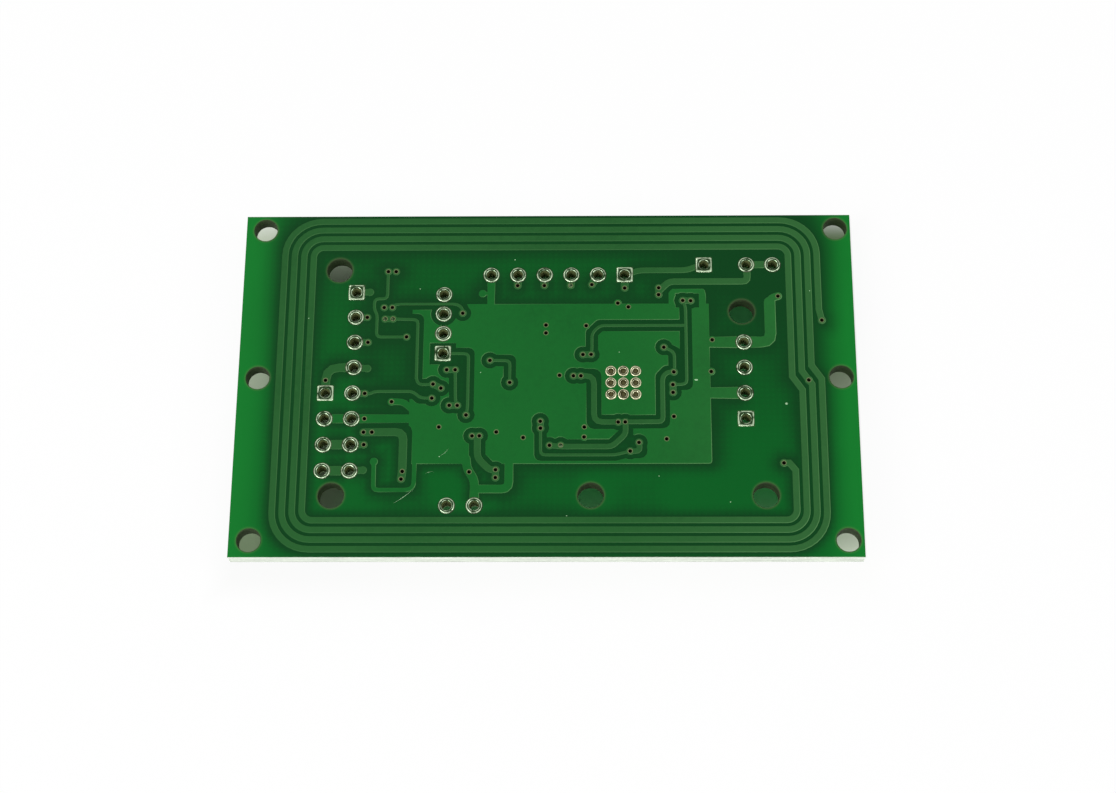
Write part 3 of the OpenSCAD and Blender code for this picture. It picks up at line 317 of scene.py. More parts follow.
def mask_finish():
    """Green mask: pale over copper, darker beside it as painted shade, and brighter where painted light
    passes the bare board.
    """
    c = colours()
    finish = Finish("green_mask")
    cover, glow, broad = (finish.attribute(name) for name in ("cover", "glow", "broad"))
    rim, lip = finish.attribute("rim").smooth(0.0, 1.1), finish.attribute("lip").smooth(0.0, 0.7)
    x, y = abs(finish.axis("X")), finish.axis("Y")
    cloud = finish.grain(9 * MM, 3.0)
    mottle = finish.grain(0.5 * MM, 5.0)
    cloth = finish.weave(0.55 * MM)
    # Light enters at the short edges and fades inwards
    side = x.smooth(BOARD_X - 5.2 * MM, BOARD_X)
    # Painted light: the bare board is brighter towards the front and darker towards the back of the
    # right-hand end
    front = (y * -1).smooth(-BOARD_Y * 1.2, BOARD_Y * 1.1)
    right = finish.axis("X").smooth(4 * MM, 24 * MM)
    level = glow * (0.55 + front * 0.85 - right * (1 - front) * 0.9)
    level = level + (cloud - 0.5) * 0.55 + (cloth - 0.3) * 0.12
    # Painted shade and light on the bare board: the gap colour where little light comes through, near copper
    # and over the parts below, and the bare colour where more does; cloud and weave add real tone
    bare = finish.mix(tuple(c.mask_gap_shade_and_mottle), tuple(c.mask_bare), level.smooth(0.0, 1.15))
    bare = finish.mix(bare, tuple(c.mask_lit), side * glow * (0.75 + cloud * 0.5))
    over = finish.mix(tuple(c.mask_track), tuple(c.mask_copper), broad)
    # A darker mottle over the copper
    over = finish.mix(over, tuple(c.mask_gap_shade_and_mottle), (mottle * 0.5 + cloud * 0.7).smooth(0.45, 1.5))
    # The right-hand end lies in the brighter light
    over = finish.mix(over, tuple(c.mask_thin_and_highlight), right * 0.07)
    # Painted highlight: the pale thin-mask colour along copper edges, strongest where they face the light and
    # towards the right-hand end; the paler thin mask itself is real
    edge = rim * (broad * 0.3 + right * 0.35 + 0.3) * (mottle * 0.8 + 0.6)
    over = finish.mix(over, tuple(c.mask_thin_and_highlight), edge)
    skin = finish.mix(bare, over, cover)
    skin = finish.mix(skin, tuple(c.mask_lip), lip * 0.75)
    ripple = finish.grain(0.35 * MM, 3.0) * 0.6 + finish.grain(3.5 * MM, 2.0)
    return finish.dress(
        {"Specular IOR Level": 0.12, "Metallic": 0.0},
        colour=skin,
        roughness=0.34 + mottle * 0.16,
        normal=finish.bump(ripple, 0.25, 0.02 * MM),
    )


def laminate_finish():
    """Glass cloth in resin: layered and pale at the cut edges, and dark olive-brown down the drilled holes,
    partly the resin and partly painted shade.
    """
    c = colours()
    finish = Finish("glass_laminate")
    x, y = abs(finish.axis("X")), abs(finish.axis("Y"))
    cut = (x - (BOARD_X - 0.1 * MM)).larger(y - (BOARD_Y - 0.1 * MM)).smooth(0.0, 0.05 * MM)
    layers = finish.grain(0.16 * MM, 2.0, (0.05, 0.05, 1.0))
    fibres = finish.grain(0.08 * MM, 4.0, (0.3, 0.3, 1.0))
    tone = (layers * 0.6 + fibres * 0.4).smooth(0.35, 0.65)
    pale = finish.mix(tuple(0.72 * v for v in c.laminate), tuple(c.laminate), tone)
    # Painted shade, with the resin, down the drilled holes; pale laminate at the cut edges
    bore_resin_and_shade_tone = finish.mix(tuple(0.6 * v for v in c.bore_resin_and_shade), tuple(c.bore_resin_and_shade), tone)
    return finish.dress(
        {"Specular IOR Level": 0.3},
        colour=finish.mix(bore_resin_and_shade_tone, pale, cut),
        roughness=0.62 + fibres * 0.2,
        normal=finish.bump(fibres, 0.5, 0.03 * MM),
    )


def solder_finish(name, tones, bright):
    """Rippled solder: a painted highlight on its crests, painted shade in its hollows, and of its own colour
    down a bore.
    """
    bore, hollow_shade_tone, crest_highlight_tone = map(tuple, tones)
    finish = Finish(name)
    z = finish.axis("Z")
    outside = (z - FACE_UP).larger(FACE_DOWN - z)
    grain = finish.grain(0.1 * MM, 4.0)
    patch = finish.grain(0.45 * MM, 2.0)
    # Painted highlight on the crests and painted shade in the hollows; the crests are made less metallic so
    # that the painted highlight shows
    crest = (finish.attribute("crest") * (patch * 3.2 + bright)).smooth(0.1, 0.9)
    skin = finish.mix(hollow_shade_tone, crest_highlight_tone, crest)
    shown = outside.smooth(-0.1 * MM, 0.05 * MM)
    return finish.dress(
        {},
        colour=finish.mix(bore, skin, shown),
        metallic=0.2 + shown * (0.72 - crest * 0.5),
        roughness=0.6 - shown * 0.44 + grain * 0.12,
        normal=finish.bump(patch * 0.6 + grain * 0.4, 0.7, 0.04 * MM),
    )


def copper_finish():
    """Stained copper, under a thin skin of tin where it shows beside a pad."""
    c = colours()
    finish = Finish("board_copper")
    z = finish.axis("Z")
    grain = finish.grain(0.1 * MM, 4.0)
    stain = finish.grain(0.8 * MM, 3.0)
    outside = (z - FACE_UP).larger(FACE_DOWN - z).smooth(-0.05 * MM, 0.03 * MM)
    tinned = finish.mix(tuple(0.6 * v for v in c.tin), tuple(c.tin), stain.smooth(0.35, 0.75))
    return finish.dress(
        {},
        colour=finish.mix(tuple(c.copper), tinned, outside),
        metallic=0.3 + outside * 0.5,
        roughness=0.45 + grain * 0.2,
        normal=finish.bump(grain, 0.3, 0.01 * MM),
    )


def can_finish():
    """Drawn and tumbled metal with fine scratches along the can."""
    c = colours()
    finish = Finish("drawn_can")
    lines = finish.grain(0.06 * MM, 4.0, (0.08, 1.0, 1.0))
    stain = finish.grain(1.4 * MM, 3.0)
    tone = (lines * 0.5 + stain * 0.5).smooth(0.3, 0.7)
    return finish.dress(
        {"Metallic": 1.0},
        colour=finish.mix(tuple(0.75 * v for v in c.can), tuple(c.can), tone),
        roughness=0.24 + lines * 0.16,
        normal=finish.bump(lines, 0.25, 0.01 * MM),
    )


# ---------------------------------------------------------------- building blocks

def dress_nodes(nodes, material):
    """Gives CAD nodes, whose shape stays, their finish."""
    for name in nodes:
        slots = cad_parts[name].data.materials
        slots.clear()
        slots.append(material)


def new_piece(name, bm, material, nodes):
    """Makes bm a piece on the board that stands for those nodes."""
    mesh = bpy.data.meshes.new(name)
    bm.to_mesh(mesh)
    bm.free()
    if not mesh.polygons:
        raise RuntimeError(f"{name} came out without a face")
    mesh.materials.append(material)
    piece = bpy.data.objects.new(name, mesh)
    bpy.context.scene.collection.objects.link(piece)
    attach(piece, "root")
    if nodes:
        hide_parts(*nodes)
    return piece


def merged_copy(node):
    """A copy of a CAD node's mesh, with its loose triangles joined."""
    bm = bmesh.new()
    bm.from_mesh(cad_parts[node].data)
    bmesh.ops.remove_doubles(bm, verts=bm.verts, dist=MERGE)
    return bm


def islands(node):
    """The low and high corner of each separate solid of a node."""
    bm = merged_copy(node)
    boxes, seen = [], set()
    for start in bm.verts:
        if start in seen:
            continue
        seen.add(start)
        group, front = [], [start]
        while front:
            vert = front.pop()
            group.append(vert.co.copy())
            for edge in vert.link_edges:
                other = edge.other_vert(vert)
                if other not in seen:
                    seen.add(other)
                    front.append(other)
        boxes.append((Vector(map(min, *group)), Vector(map(max, *group))))
    bm.free()
    return boxes


def turned(bm, profile, centre, steps):
    """Spins a profile of (radius, height) points about the upright line through centre.

    Returns the new points.
    """
    before = set(bm.verts)
    points = [bm.verts.new((centre[0] + r, centre[1], z)) for r, z in profile]
    edges = [bm.edges.new(pair) for pair in zip(points, points[1:])]
    if profile[0][0] > MERGE:
        edges.append(bm.edges.new((points[-1], points[0])))
    bmesh.ops.spin(
        bm, geom=points + edges, cent=(*centre, 0), axis=(0, 0, 1), dvec=(0, 0, 0),
        angle=math.tau, steps=steps, use_merge=True, use_duplicate=False,
    )
    made = [v for v in bm.verts if v not in before]
    bmesh.ops.remove_doubles(bm, verts=made, dist=MERGE)
    return [v for v in bm.verts if v not in before]


def smooth_by_angle(bm, degrees):
    """Rounds the shading, apart from edges that turn by more than the angle."""
    limit = math.radians(degrees)
    for face in bm.faces:
        face.smooth = True
    for edge in bm.edges:
        edge.smooth = len(edge.link_faces) == 2 and edge.calc_face_angle(0) < limit


def eased_copy(node, width):
    """A copy of a CAD node whose outer edges are bevelled to catch the light."""
    bm = merged_copy(node)
    bmesh.ops.dissolve_limit(
        bm, angle_limit=math.radians(1), verts=bm.verts, edges=bm.edges, use_dissolve_boundaries=False
    )
    sharp = [e for e in bm.edges if len(e.link_faces) == 2 and e.calc_face_angle_signed(0) > math.radians(25)]
    bmesh.ops.bevel(
        bm, geom=sharp, offset=width, offset_type="OFFSET", segments=2, profile=0.5,
        affect="EDGES", clamp_overlap=True, material=-1,
    )
    smooth_by_angle(bm, 30)
    return bm


# ---------------------------------------------------------------- the mask

def mask_plan(node, base, rise):
    """The mask's inner face laid flat on the laminate, with the part over copper marked."""
    bm = merged_copy(node)
    covered = bm.faces.layers.int.new("covered")
    drop = []
    for face in bm.faces:
        level = face.calc_center_median().z - base
        inward = face.normal.z * rise < -0.9
        if inward and abs(level) < 0.1 * COPPER:
            face[covered] = 0
        elif inward and abs(level - rise * COPPER) < 0.1 * COPPER:
            face[covered] = 1
        else:
            drop.append(face)
    bmesh.ops.delete(bm, geom=drop, context="FACES")
    for vert in bm.verts:
        vert.co.z = base
    bmesh.ops.remove_doubles(bm, verts=bm.verts, dist=MERGE)
    bmesh.ops.reverse_faces(bm, faces=bm.faces[:])
    return bm, covered


def inset_group(bm, covered, value, width):
    """A strip of that width along the border of one group of the mask's faces."""
    faces = [f for f in bm.faces if f[covered] == value]
    bmesh.ops.inset_region(
        bm, faces=faces, thickness=width, depth=0, use_boundary=False, use_even_offset=False
    )


def cut_both_ways(bm, step):
    """Cuts the flat mask along lines across and up the board, so that its brightness can vary."""
    for axis, reach in (((1, 0, 0), BOARD_X), ((0, 1, 0), BOARD_Y)):
        count = int(2 * reach / step)
        for i in range(1, count):
            point = Vector(axis) * (-reach + 2 * reach * i / count)
            geom = bm.verts[:] + bm.edges[:] + bm.faces[:]
            bmesh.ops.bisect_plane(bm, geom=geom, dist=MERGE, plane_co=point, plane_no=axis)


def openings(bm):
    """The border loops of the flat mask, each with its middle and its farthest reach from there."""
    seen, loops = set(), []
    for start in [e for e in bm.edges if e.is_boundary]:
        if start in seen:
            continue
        seen.add(start)
        verts, front = set(start.verts), list(start.verts)
        while front:
            for edge in front.pop().link_edges:
                if edge.is_boundary and edge not in seen:
                    seen.add(edge)
                    front += [v for v in edge.verts if v not in verts]
                    verts.update(edge.verts)
        low, high = Vector(map(min, *(v.co for v in verts))), Vector(map(max, *(v.co for v in verts)))
        middle = (low + high) / 2
        loops.append((verts, middle, max((v.co - middle).length for v in verts)))
    return loops


def facing(vert, covered):
    """How far an edge of the copper, at one of its points, faces the light: 0 to 1."""
    out = Vector((0, 0, 0))
    for face in vert.link_faces:
        out += (face.calc_center_median() - vert.co).normalized() * (-1 if face[covered] else 1)
    return 0.5 + 0.5 * out.normalized().dot(LIGHT) if out.length > MERGE else 0.5


def dimmed(point, boxes):
    """How much of the light from below a point keeps, beside the parts that lie under it."""
    kept = 1.0
    for low, high in boxes:
        dx = max(low.x - point.x, 0, point.x - high.x)
        dy = max(low.y - point.y, 0, point.y - high.y)
        near = max(0.0, 1 - math.hypot(dx, dy) / PART_REACH)
        kept *= 1 - PART_SHADE * near * near
    return kept


def copper_tree(bm):
    """The part of the flat mask over copper, to measure distances from."""
    flat = bm.copy()
    covered = flat.faces.layers.int["covered"]
    bmesh.ops.delete(flat, geom=[f for f in flat.faces if not f[covered]], context="FACES")
    tree = BVHTree.FromBMesh(flat)
    flat.free()
    return tree


def pour_tree(pour):
    """The broad copper of one face, to tell it from the tracks."""
    bm = merged_copy(pour)
    tree = BVHTree.FromBMesh(bm)
    bm.free()
    return tree


def mask_skin(node, pour, base, rise, name, material):
    """The mask as one skin that lies low on bare board and climbs over the copper, with lipped openings."""
    size = sizes()
    bm, covered = mask_plan(node, base, rise)
    everything = bm.faces[:]
    bmesh.ops.inset_region(
        bm, faces=everything, thickness=size.lip, depth=0, use_boundary=True, use_even_offset=False
    )
    inset_group(bm, covered, 1, size.rim)
    inset_group(bm, covered, 0, size.flank)
    marks = {key: bm.verts.layers.float.new(key) for key in ("cover", "glow", "rim", "lip", "broad", "edge")}
    outline = {v for e in bm.edges for v in e.verts if len({f[covered] for f in e.link_faces}) == 2}
    for vert in bm.verts:
        vert[marks["cover"]] = float(any(f[covered] for f in vert.link_faces))
        vert[marks["edge"]] = float(vert.is_boundary)
    # Painted highlight: a stronger pale rim where the copper's edge faces the light
    for vert in outline:
        vert[marks["rim"]] = 0.12 + 0.88 * facing(vert, covered) ** 2
    for verts, middle, reach in openings(bm):
        for vert in verts:
            if reach < VIA_REACH:
                vert[marks["lip"]] = 1.0
            elif PLAIN_REACH[0] < reach < PLAIN_REACH[1] and not any(f[covered] for f in vert.link_faces):
                vert[marks["lip"]] = 0.25
                vert.co -= (vert.co - middle).normalized() * size.hole_lip
    cut_both_ways(bm, size.glow_step)

    copper, broad = copper_tree(bm), pour_tree(pour)
    boxes = [box for part in SHADING_PARTS for box in islands(part)]
    top = abs(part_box(node)[1 if rise > 0 else 0].z - base)
    for vert in bm.verts:
        # Painted light through the bare board: none at the copper, full at the glow reach, with painted shade
        # beside the parts beneath
        distance = copper.find_nearest(vert.co)[3]
        share = min(1.0, distance / size.glow_reach)
        vert[marks["glow"]] = share * (2 - share) * dimmed(vert.co, boxes)
        vert[marks["broad"]] = float(broad.find_nearest(vert.co)[3] < 0.02 * MM)
        height = size.bare_height + (top - size.bare_height) * vert[marks["cover"]]
        vert.co.z = base + rise * (height - size.lip_drop * vert[marks["edge"]])

    border = [e for e in bm.edges if e.is_boundary]
    skirt = bmesh.ops.extrude_edge_only(bm, edges=border)["geom"]
    for vert in skirt:
        if isinstance(vert, bmesh.types.BMVert):
            vert.co.z = base
    bmesh.ops.recalc_face_normals(bm, faces=bm.faces[:])
    if max(bm.faces, key=lambda f: f.calc_area()).normal.z * rise < 0:
        bmesh.ops.reverse_faces(bm, faces=bm.faces[:])
    smooth_by_angle(bm, 12)
    bm.faces.layers.int.remove(bm.faces.layers.int["covered"])
    new_piece(name, bm, material, [node])


# ---------------------------------------------------------------- solder

def ripple_at(point, size, seed):
    return noise.noise(Vector((point.x / size, point.y / size, seed)))


# The solder on a ring: shares of the way from bore to rim and of the crown's height, and how much painted
# highlight it gets
CROWN = (
    (0.0, 0.15, 0.1), (0.08, 0.45, 0.4), (0.18, 0.85, 0.75), (0.3, 0.98, 0.3), (0.45, 0.86, 0.1),
    (0.58, 0.9, 0.25), (0.7, 1.0, 0.8), (0.82, 0.8, 1.0), (0.92, 0.48, 0.9), (1.0, 0.05, 0.45),
)


def soldered_hole(bm, low, high, bore, square, seed, swell, cup):
    """One plated hole: a tube through the board with rippled solder crowning its rings."""
    centre = ((low.x + high.x) / 2, (low.y + high.y) / 2)
    outer = (high.x - low.x) / 2
    wall = bore + PLATING
    top, under = FACE_UP + COPPER, FACE_DOWN - COPPER
    crown, sag = high.z - top, under - low.z
    width = outer - bore
    profile = [(bore + share * width, top + part * crown) for share, part, _ in CROWN] + [(outer, FACE_UP)]
    if sag > MERGE:
        profile += [
            (wall, FACE_UP), (wall, FACE_DOWN), (outer, FACE_DOWN), (outer, under),
            (bore + 0.7 * width, under - 0.7 * sag), (bore + 0.3 * width, under - 0.85 * sag),
            (bore, under - 0.5 * sag),
        ]
    else:
        profile += [(wall, FACE_UP), (wall, under), (bore, under)]
    if cup:
        # Solder has risen in the bore and left a shallow cup
        profile = [(0, FACE_UP - cup), (0.7 * bore, FACE_UP - 0.8 * cup), *profile, (0, profile[-1][1])]
    size, bright = sizes(), bm.verts.layers.float["crest"]
    for vert in turned(bm, profile, centre, RING_STEPS):
        arm = vert.co.xy - Vector(centre)
        share = (arm.length - bore) / width
        wave = ripple_at(vert.co, 0.36 * MM, seed)
        # How much painted highlight this point of the crown gets, and a strong one on the underside
        if vert.co.z > top:
            vert[bright] = min(CROWN, key=lambda c: abs(c[0] - share))[2]
        elif vert.co.z < FACE_DOWN:
            vert[bright] = 0.9
        if square and share > SQUARE_SHARES[0]:
            along = arm.normalized()
            stretch = min(1 / max(abs(along.x), abs(along.y)), SQUARE_CORNER)
            turn = (share - SQUARE_SHARES[0]) / (SQUARE_SHARES[1] - SQUARE_SHARES[0])
            arm *= 1 + (stretch - 1) * min(1.0, turn)
        elif share > 0.1:
            arm *= 1 + (swell * (1 + wave) - 0.05 * abs(wave)) * share
        vert.co.xy = Vector(centre) + arm
        if vert.co.z > top and share < 0.97:
            vert.co.z = min(high.z, max(top + 0.002 * MM, vert.co.z + wave * size.solder_ripple))


def bore_radius(node):
    """The radius of the open bore in a node's holes, from the first of them."""
    low, high = islands(node)[0]
    centre = (low + high) / 2
    return min((v.co.xy - centre.xy).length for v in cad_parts[node].data.vertices)


def is_square(node, low, high):
    """Whether a pad's island has corners that reach past its round outline."""
    centre, outer = ((low + high) / 2).xy, (high.x - low.x) / 2
    from_middle = [v.co.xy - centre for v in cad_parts[node].data.vertices]
    return any(min(abs(p.x), abs(p.y)) > 0.9 * outer > 0.8 * max(abs(p.x), abs(p.y)) for p in from_middle)


def dome(bm, low, high, seed):
    """Solder that has filled a via: a low dome with a dimple."""
    centre = ((low.x + high.x) / 2, (low.y + high.y) / 2)
    outer = (high.x - low.x) / 2
    tall = high.z - FACE_UP
    profile = [
        (0, low.z), (0.96 * outer, low.z), (outer, FACE_UP), (outer, FACE_UP + 0.3 * tall),
        (0.8 * outer, FACE_UP + 0.8 * tall), (0.45 * outer, FACE_UP + 0.97 * tall), (0, FACE_UP + 0.9 * tall),
    ]
    bright = bm.verts.layers.float["crest"]
    for vert in turned(bm, profile, centre, DOME_STEPS):
        # The same painted highlight all over a filled via
        vert[bright] = 0.33
        if vert.co.z > FACE_UP + 0.5 * tall:
            vert.co.z = min(high.z, vert.co.z + 0.01 * MM * ripple_at(vert.co, 0.2 * MM, seed))


# ---------------------------------------------------------------- marks of use

# Flecks on the mask: middle, length, width and turn, in millimetres and degrees
FLECKS = (
    (13.98, 0.11, 0.34, 0.16, 0), (22.33, -2.25, 0.22, 0.2, 0), (-9.9, -7.4, 0.12, 0.08, 30),
    (-3.1, 12.4, 0.12, 0.1, 0), (6.8, 2.9, 0.1, 0.08, 60), (10.4, -9.3, 0.1, 0.08, 10),
    (-22.6, 6.4, 0.12, 0.08, 80), (24.9, 9.1, 0.1, 0.08, 20), (16.9, -11.8, 0.1, 0.1, 0),
    (-6.2, 0.9, 0.1, 0.07, 45), (1.9, -13.1, 0.12, 0.08, 0), (-12.1, 9.4, 0.1, 0.08, 0),
)
# Fine scratches in the mask: the points of each, and its width
SCRATCHES = (
    (0.07, ((-14.0, -11.9), (-13.1, -11.3), (-12.2, -10.6))),
    (0.05, ((-9.9, -7.4), (-9.4, -7.05), (-9.0, -6.6))),
    (0.04, ((-11.1, -9.0), (-10.8, -8.9), (-10.4, -8.85))),
)


def fleck(bm, x, y, long, wide, angle, z):
    """A low oval speck on the mask."""
    made = bmesh.ops.create_uvsphere(bm, u_segments=14, v_segments=6, radius=0.5 * MM)["verts"]
    bmesh.ops.scale(bm, verts=made, vec=(long, wide, 0.012))
    bmesh.ops.rotate(bm, verts=made, cent=(0, 0, 0), matrix=Matrix.Rotation(math.radians(angle), 3, "Z"))
    bmesh.ops.translate(bm, verts=made, vec=(x * MM, y * MM, z))


def scratch(bm, width, points, z):
    """A hair-thin burr along a path, with a sharp crest and both ends drawn out."""
    last = len(points) - 1
    rows = []
    for i, (x, y) in enumerate(points):
        a, b = points[max(0, i - 1)], points[min(last, i + 1)]
        across = Vector((a[1] - b[1], b[0] - a[0])).normalized() * width / 2
        across *= 0.15 if i in (0, last) else 1.0
        section = ((1, -0.01), (0, 0.015), (-1, -0.01))
        places = [((x + s * across.x) * MM, (y + s * across.y) * MM, z + h * MM) for s, h in section]
        rows.append([bm.verts.new(place) for place in places])
    for a, b in zip(rows, rows[1:]):
        for i in range(3):
            j = (i + 1) % 3
            bm.faces.new((a[i], a[j], b[j], b[i]))
    bm.faces.new(rows[0])
    bm.faces.new(rows[-1])


# ---------------------------------------------------------------- operators

class BoardOperator(bpy.types.Operator):
    """What the operators of this board share."""

    bl_options = {"REGISTER", "UNDO"}

    def execute(self, context):
        self.build(context)
        return {"FINISHED"}


class READERBOARD_OT_stage(BoardOperator):
    """Set up the floor, the soft lamps, the white surroundings and the camera"""

    bl_idname = "readerboard.stage"
    bl_label = "Stage"

    def build(self, context):
        self.floor()
        self.surroundings(context.scene)
        self.lamp("key_lamp", (-330, -260, 430), 260, 1.5)
        self.lamp("fill_lamp", (380, -120, 420), 240, 0.85)
        self.lamp("back_lamp", (-260, 330, 400), 160, 0.35)
        self.lamp("front_lamp", (30, -520, 40), 220, 0.9)
        self.camera(context.scene)

    def floor(self):
        bm = bmesh.new()
        bmesh.ops.create_grid(bm, x_segments=1, y_segments=1, size=3.0)
        bmesh.ops.translate(bm, verts=bm.verts, vec=(0, 0, CAD_LOW.z - 0.02 * MM))
        mesh = bpy.data.meshes.new("floor")
        bm.to_mesh(mesh)
        bm.free()
        finish = Finish("pale_floor")
        x, y = finish.axis("X"), finish.axis("Y")
        inside = (BOARD_X - abs(x)).smaller(BOARD_Y - abs(y))
        # Green light comes down through the board, less so on the side where the lamps stand
        screened = inside.smooth(1.5 * MM, 8 * MM) * (x * 0.5 - y * 0.2).smooth(-9 * MM, -3 * MM)
        # Two opposite corners let more of the room's light in below the board
        open_corner = 0.5 - x * y * (0.6 / (BOARD_X * BOARD_Y)) - y * (0.25 / BOARD_Y)
        shade = finish.mix((0.16, 0.24, 0.12), (0.74, 0.82, 0.66), open_corner.smooth(0.0, 1.0))
        shade = finish.mix(shade, (0.17, 0.85, 0.28), screened)
        under = inside.smooth(-3.5 * MM, 0.2 * MM)
        tone = finish.mix((0.97, 0.97, 0.97), shade, under)
        finish.dress({"Specular IOR Level": 0.0, "Roughness": 1.0}, colour=tone)
        glow = finish.node("Emission", inputs={"Color": (1, 1, 1, 1), "Strength": 1.0})
        rays = finish.node("LightPath", output="Is Camera Ray")
        # Only the open floor is lifted to white, so that it stays dark where it shows through a hole
        sideways = (abs(x) - BOARD_X).smooth(0.3 * MM, 1 * MM)
        along = (-15.0 * MM - y).larger(y - 19.0 * MM).smooth(0.0, 0.6 * MM)
        apart = sideways.larger(along)
        shader = Link(finish, finish.shader.outputs[0])
        seen = finish.node("MixShader", inputs={0: rays * apart * 0.95, 1: shader, 2: glow})
        finish.plug(finish.tree.nodes["Material Output"], {"Surface": seen})
        mesh.materials.append(finish.material)
        floor = bpy.data.objects.new("floor", mesh)
        bpy.context.scene.collection.objects.link(floor)

    def surroundings(self, scene):
        world = bpy.data.worlds.new("soft_room")
        scene.world = world
        world.use_nodes = True
        tree = world.node_tree
        path = tree.nodes.new("ShaderNodeLightPath")
        seen = tree.nodes.new("ShaderNodeMath")
        seen.operation = "MAXIMUM"
        tree.links.new(path.outputs["Is Camera Ray"], seen.inputs[0])
        tree.links.new(path.outputs["Is Transmission Ray"], seen.inputs[1])
        strength = tree.nodes.new("ShaderNodeMapRange")
        tree.links.new(seen.outputs[0], strength.inputs["Value"])
        strength.inputs["To Min"].default_value = 0.4
        strength.inputs["To Max"].default_value = 1.0
        back = tree.nodes["Background"]
        back.inputs["Color"].default_value = (1, 1, 1, 1)
        tree.links.new(strength.outputs[0], back.inputs["Strength"])

    def lamp(self, name, place, side, power):
        data = bpy.data.lights.new(name, "AREA")
        data.size, data.energy = side * MM, power
        lamp = bpy.data.objects.new(name, data)
        lamp.location = Vector(place) * MM
        lamp.rotation_euler = (-Vector(place)).to_track_quat("-Z", "Y").to_euler()
        bpy.context.scene.collection.objects.link(lamp)

    def camera(self, scene):
        data = bpy.data.cameras.new("camera")
        data.lens, data.sensor_width = LENS, 36
        camera = bpy.data.objects.new("camera", data)
        camera.location = Vector(CAMERA_PLACE) * MM
        camera.rotation_euler = [math.radians(a) for a in CAMERA_TURN]
        scene.collection.objects.link(camera)
        scene.camera = camera
        scene.view_settings.view_transform = "Standard"


class READERBOARD_OT_laminate(BoardOperator):
    """Finish the glass laminate"""

    bl_idname = "readerboard.laminate"
    bl_label = "Laminate"

    def build(self, context):
        dress_nodes(["laminate"], laminate_finish())


class READERBOARD_OT_copper(BoardOperator):
    """Finish the copper that shows in the mask's openings"""

    bl_idname = "readerboard.copper"
    bl_label = "Copper"

    def build(self, context):
        nodes = (
            "antenna_coil", "ground_pour", "signal_tracks", "via_barrels",
            "component_side_pour", "component_side_tracks",
        )
        dress_nodes(nodes, copper_finish())


class READERBOARD_OT_mask(BoardOperator):
    """Lay the green mask over both faces"""

    bl_idname = "readerboard.mask"
    bl_label = "Solder mask"

    def build(self, context):
        material = mask_finish()
        mask_skin("solder_side_mask", "ground_pour", FACE_UP, 1, "upper_mask", material)
        mask_skin("component_side_mask", "component_side_pour", FACE_DOWN, -1, "lower_mask", material)


class READERBOARD_OT_solder(BoardOperator):
    """Crown the plated holes with levelled solder"""

    bl_idname = "readerboard.solder"
    bl_label = "Solder"

    def build(self, context):
        c = colours()
        material = solder_finish("levelled_solder", (c.solder_bore, c.solder_hollow_shade, c.solder), -0.7)
        for number, node in enumerate(HEADERS):
            self.holes(node, node.replace("pads", "solder"), material, 7.3 * number)
        thin = solder_finish("thin_solder", (c.solder_cup, c.thermal_solder_shade, c.thermal_solder_highlight), -0.45)
        self.holes("thermal_vias", "thermal_via_solder", thin, 60, swell=0.06, cup=0.1 * MM)
        bm = bmesh.new()
        bm.verts.layers.float.new("crest")
        for index, (low, high) in enumerate(islands("via_solder_plugs")):
            dome(bm, low, high, 3.1 * index)
        self.close(bm)
        new_piece("via_plug_solder", bm, material, ["via_solder_plugs"])
        reflowed = speckled("reflowed_solder", tuple(c.lead), 0.15, 0.1 * MM, 0.3, metallic=0.85, bump=0.3)
        dress_nodes(["footprint_pads", "solder_joints"], reflowed)

    def holes(self, node, name, material, seed, swell=0.0, cup=0.0):
        bm, bore = bmesh.new(), bore_radius(node)
        bm.verts.layers.float.new("crest")
        for index, (low, high) in enumerate(islands(node)):
            soldered_hole(bm, low, high, bore, is_square(node, low, high), seed + 1.7 * index, swell, cup)
        self.close(bm)
        new_piece(name, bm, material, [node])

    def close(self, bm):
        bmesh.ops.recalc_face_normals(bm, faces=bm.faces[:])
        smooth_by_angle(bm, 50)


class READERBOARD_OT_marks(BoardOperator):
    """Scatter the flecks and fine scratches of a handled board"""

    bl_idname = "readerboard.marks"
    bl_label = "Marks of use"

    def build(self, context):
        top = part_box("solder_side_mask")[1].z
        skin = BVHTree.FromObject(bpy.data.objects["upper_mask"], context.evaluated_depsgraph_get())
        bm = bmesh.new()
        for x, y, long, wide, angle in FLECKS:
            hit = skin.ray_cast(Vector((x * MM, y * MM, top + 1 * MM)), Vector((0, 0, -1)))[0]
            fleck(bm, x, y, long, wide, angle, hit.z)
        for width, points in SCRATCHES:
            x, y = points[0]
            hit = skin.ray_cast(Vector((x * MM, y * MM, top + 1 * MM)), Vector((0, 0, -1)))[0]
            scratch(bm, width, points, hit.z)
        bmesh.ops.recalc_face_normals(bm, faces=bm.faces[:])
        fleck_finish = speckled("pale_dust", tuple(colours().dust), 0.15, 0.06 * MM, 0.6)
        new_piece("mask_flecks", bm, fleck_finish, [])


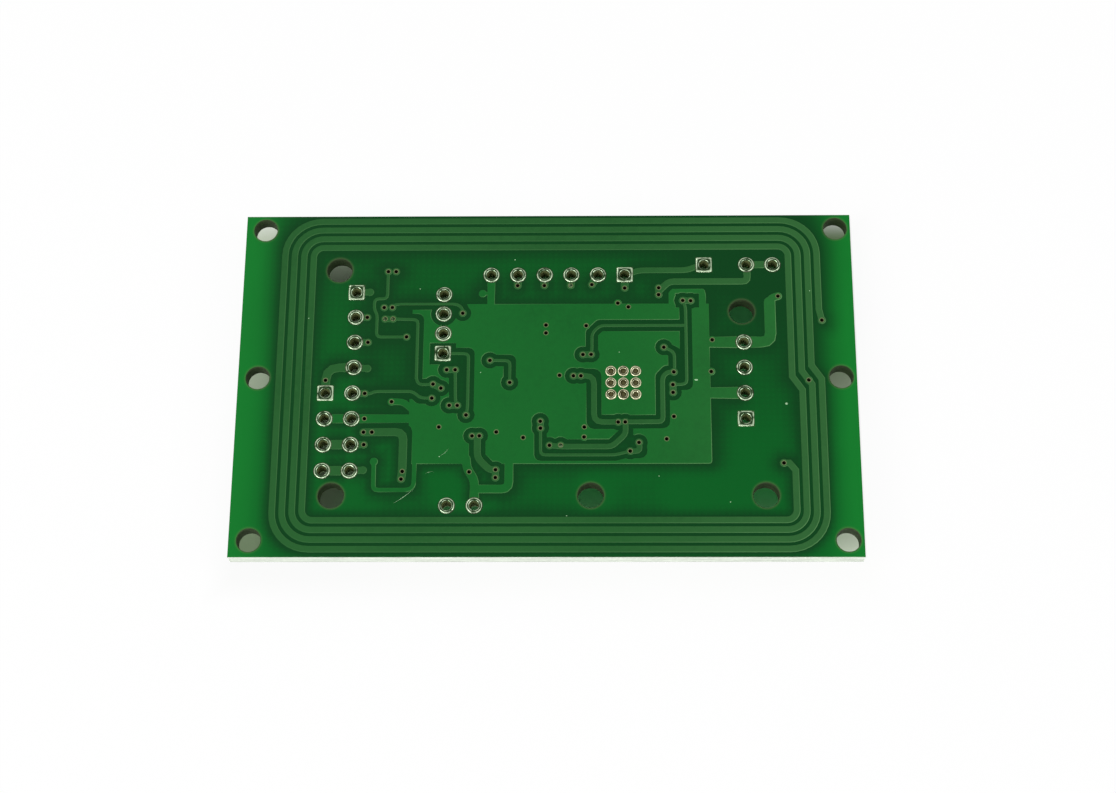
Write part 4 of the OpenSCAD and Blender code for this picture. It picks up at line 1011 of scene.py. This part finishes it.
class READERBOARD_OT_parts(BoardOperator):
    """Finish the parts on the component side"""

    bl_idname = "readerboard.parts"
    bl_label = "Parts"

    def build(self, context):
        c = colours()
        width = sizes().eased_edge
        lead = speckled("lead_metal", tuple(c.lead), 0.12, 0.08 * MM, 0.32, metallic=1.0, bump=0.2)
        mould = speckled("chip_mould", tuple(c.mould), 0.25, 0.05 * MM, 0.6, specular=0.4, bump=0.35)
        dress_nodes(["reader_chip", "controller", "regulator", "crystal_bases"], mould)
        dress_nodes(["reader_chip_terminals", "controller_leads", "crystal_leads", "regulator_leads"], lead)
        dress_nodes(["crystal_cans"], can_finish())
        ink = speckled("legend_ink", tuple(c.legend), 0.06, 0.1 * MM, 0.55, bump=0.2)
        dress_nodes(["printed_legend"], ink)
        for node, colour, slot, contrast, gloss in (
            ("tantalum_capacitors", c.tantalum, "tantalum_mould", 0.08, 0.5),
            ("filter_inductors", c.ferrite, "ferrite", 0.25, 0.7),
            ("ceramic_capacitors", c.ceramic, "capacitor_ceramic", 0.1, 0.45),
            ("resistors", c.resistor, "resistor_film", 0.2, 0.35),
            ("status_lamp", c.lamp, "lamp_lens", 0.05, 0.2),
        ):
            material = speckled(slot + "_finish", tuple(colour), contrast, 0.06 * MM, gloss, bump=0.25)
            new_piece(node + "_body", eased_copy(node, width), material, [node])
        for node in ("tantalum_terminals", "inductor_terminals", "capacitor_terminals",
                     "resistor_terminals", "lamp_terminals"):
            new_piece(node + "_metal", eased_copy(node, 0.6 * width), lead, [node])


class READERBOARD_PT_pieces(bpy.types.Panel):
    """Shows the operators and the sizes and colours of the reader board"""

    bl_label = "Reader Board"
    bl_space_type = "VIEW_3D"
    bl_region_type = "UI"
    bl_category = "Reader Board"

    def draw(self, context):
        column = self.layout.column()
        for operator in OPERATORS:
            column.operator(operator.bl_idname)
        for group in (sizes(), colours()):
            for name in group.__annotations__:
                column.prop(group, name)


OPERATORS = (
    READERBOARD_OT_stage,
    READERBOARD_OT_laminate,
    READERBOARD_OT_copper,
    READERBOARD_OT_mask,
    READERBOARD_OT_solder,
    READERBOARD_OT_marks,
    READERBOARD_OT_parts,
)
CLASSES = (ReaderBoardSizes, ReaderBoardColours, *OPERATORS, READERBOARD_PT_pieces)


def register():
    for each in CLASSES:
        bpy.utils.register_class(each)
    bpy.types.Scene.reader_board_sizes = bpy.props.PointerProperty(type=ReaderBoardSizes)
    bpy.types.Scene.reader_board_colours = bpy.props.PointerProperty(type=ReaderBoardColours)


def unregister():
    del bpy.types.Scene.reader_board_colours
    del bpy.types.Scene.reader_board_sizes
    for each in reversed(CLASSES):
        bpy.utils.unregister_class(each)


def main():
    register()
    for operator in OPERATORS:
        group, name = operator.bl_idname.split(".")
        getattr(getattr(bpy.ops, group), name)()


if __name__ == "__main__":
    main()
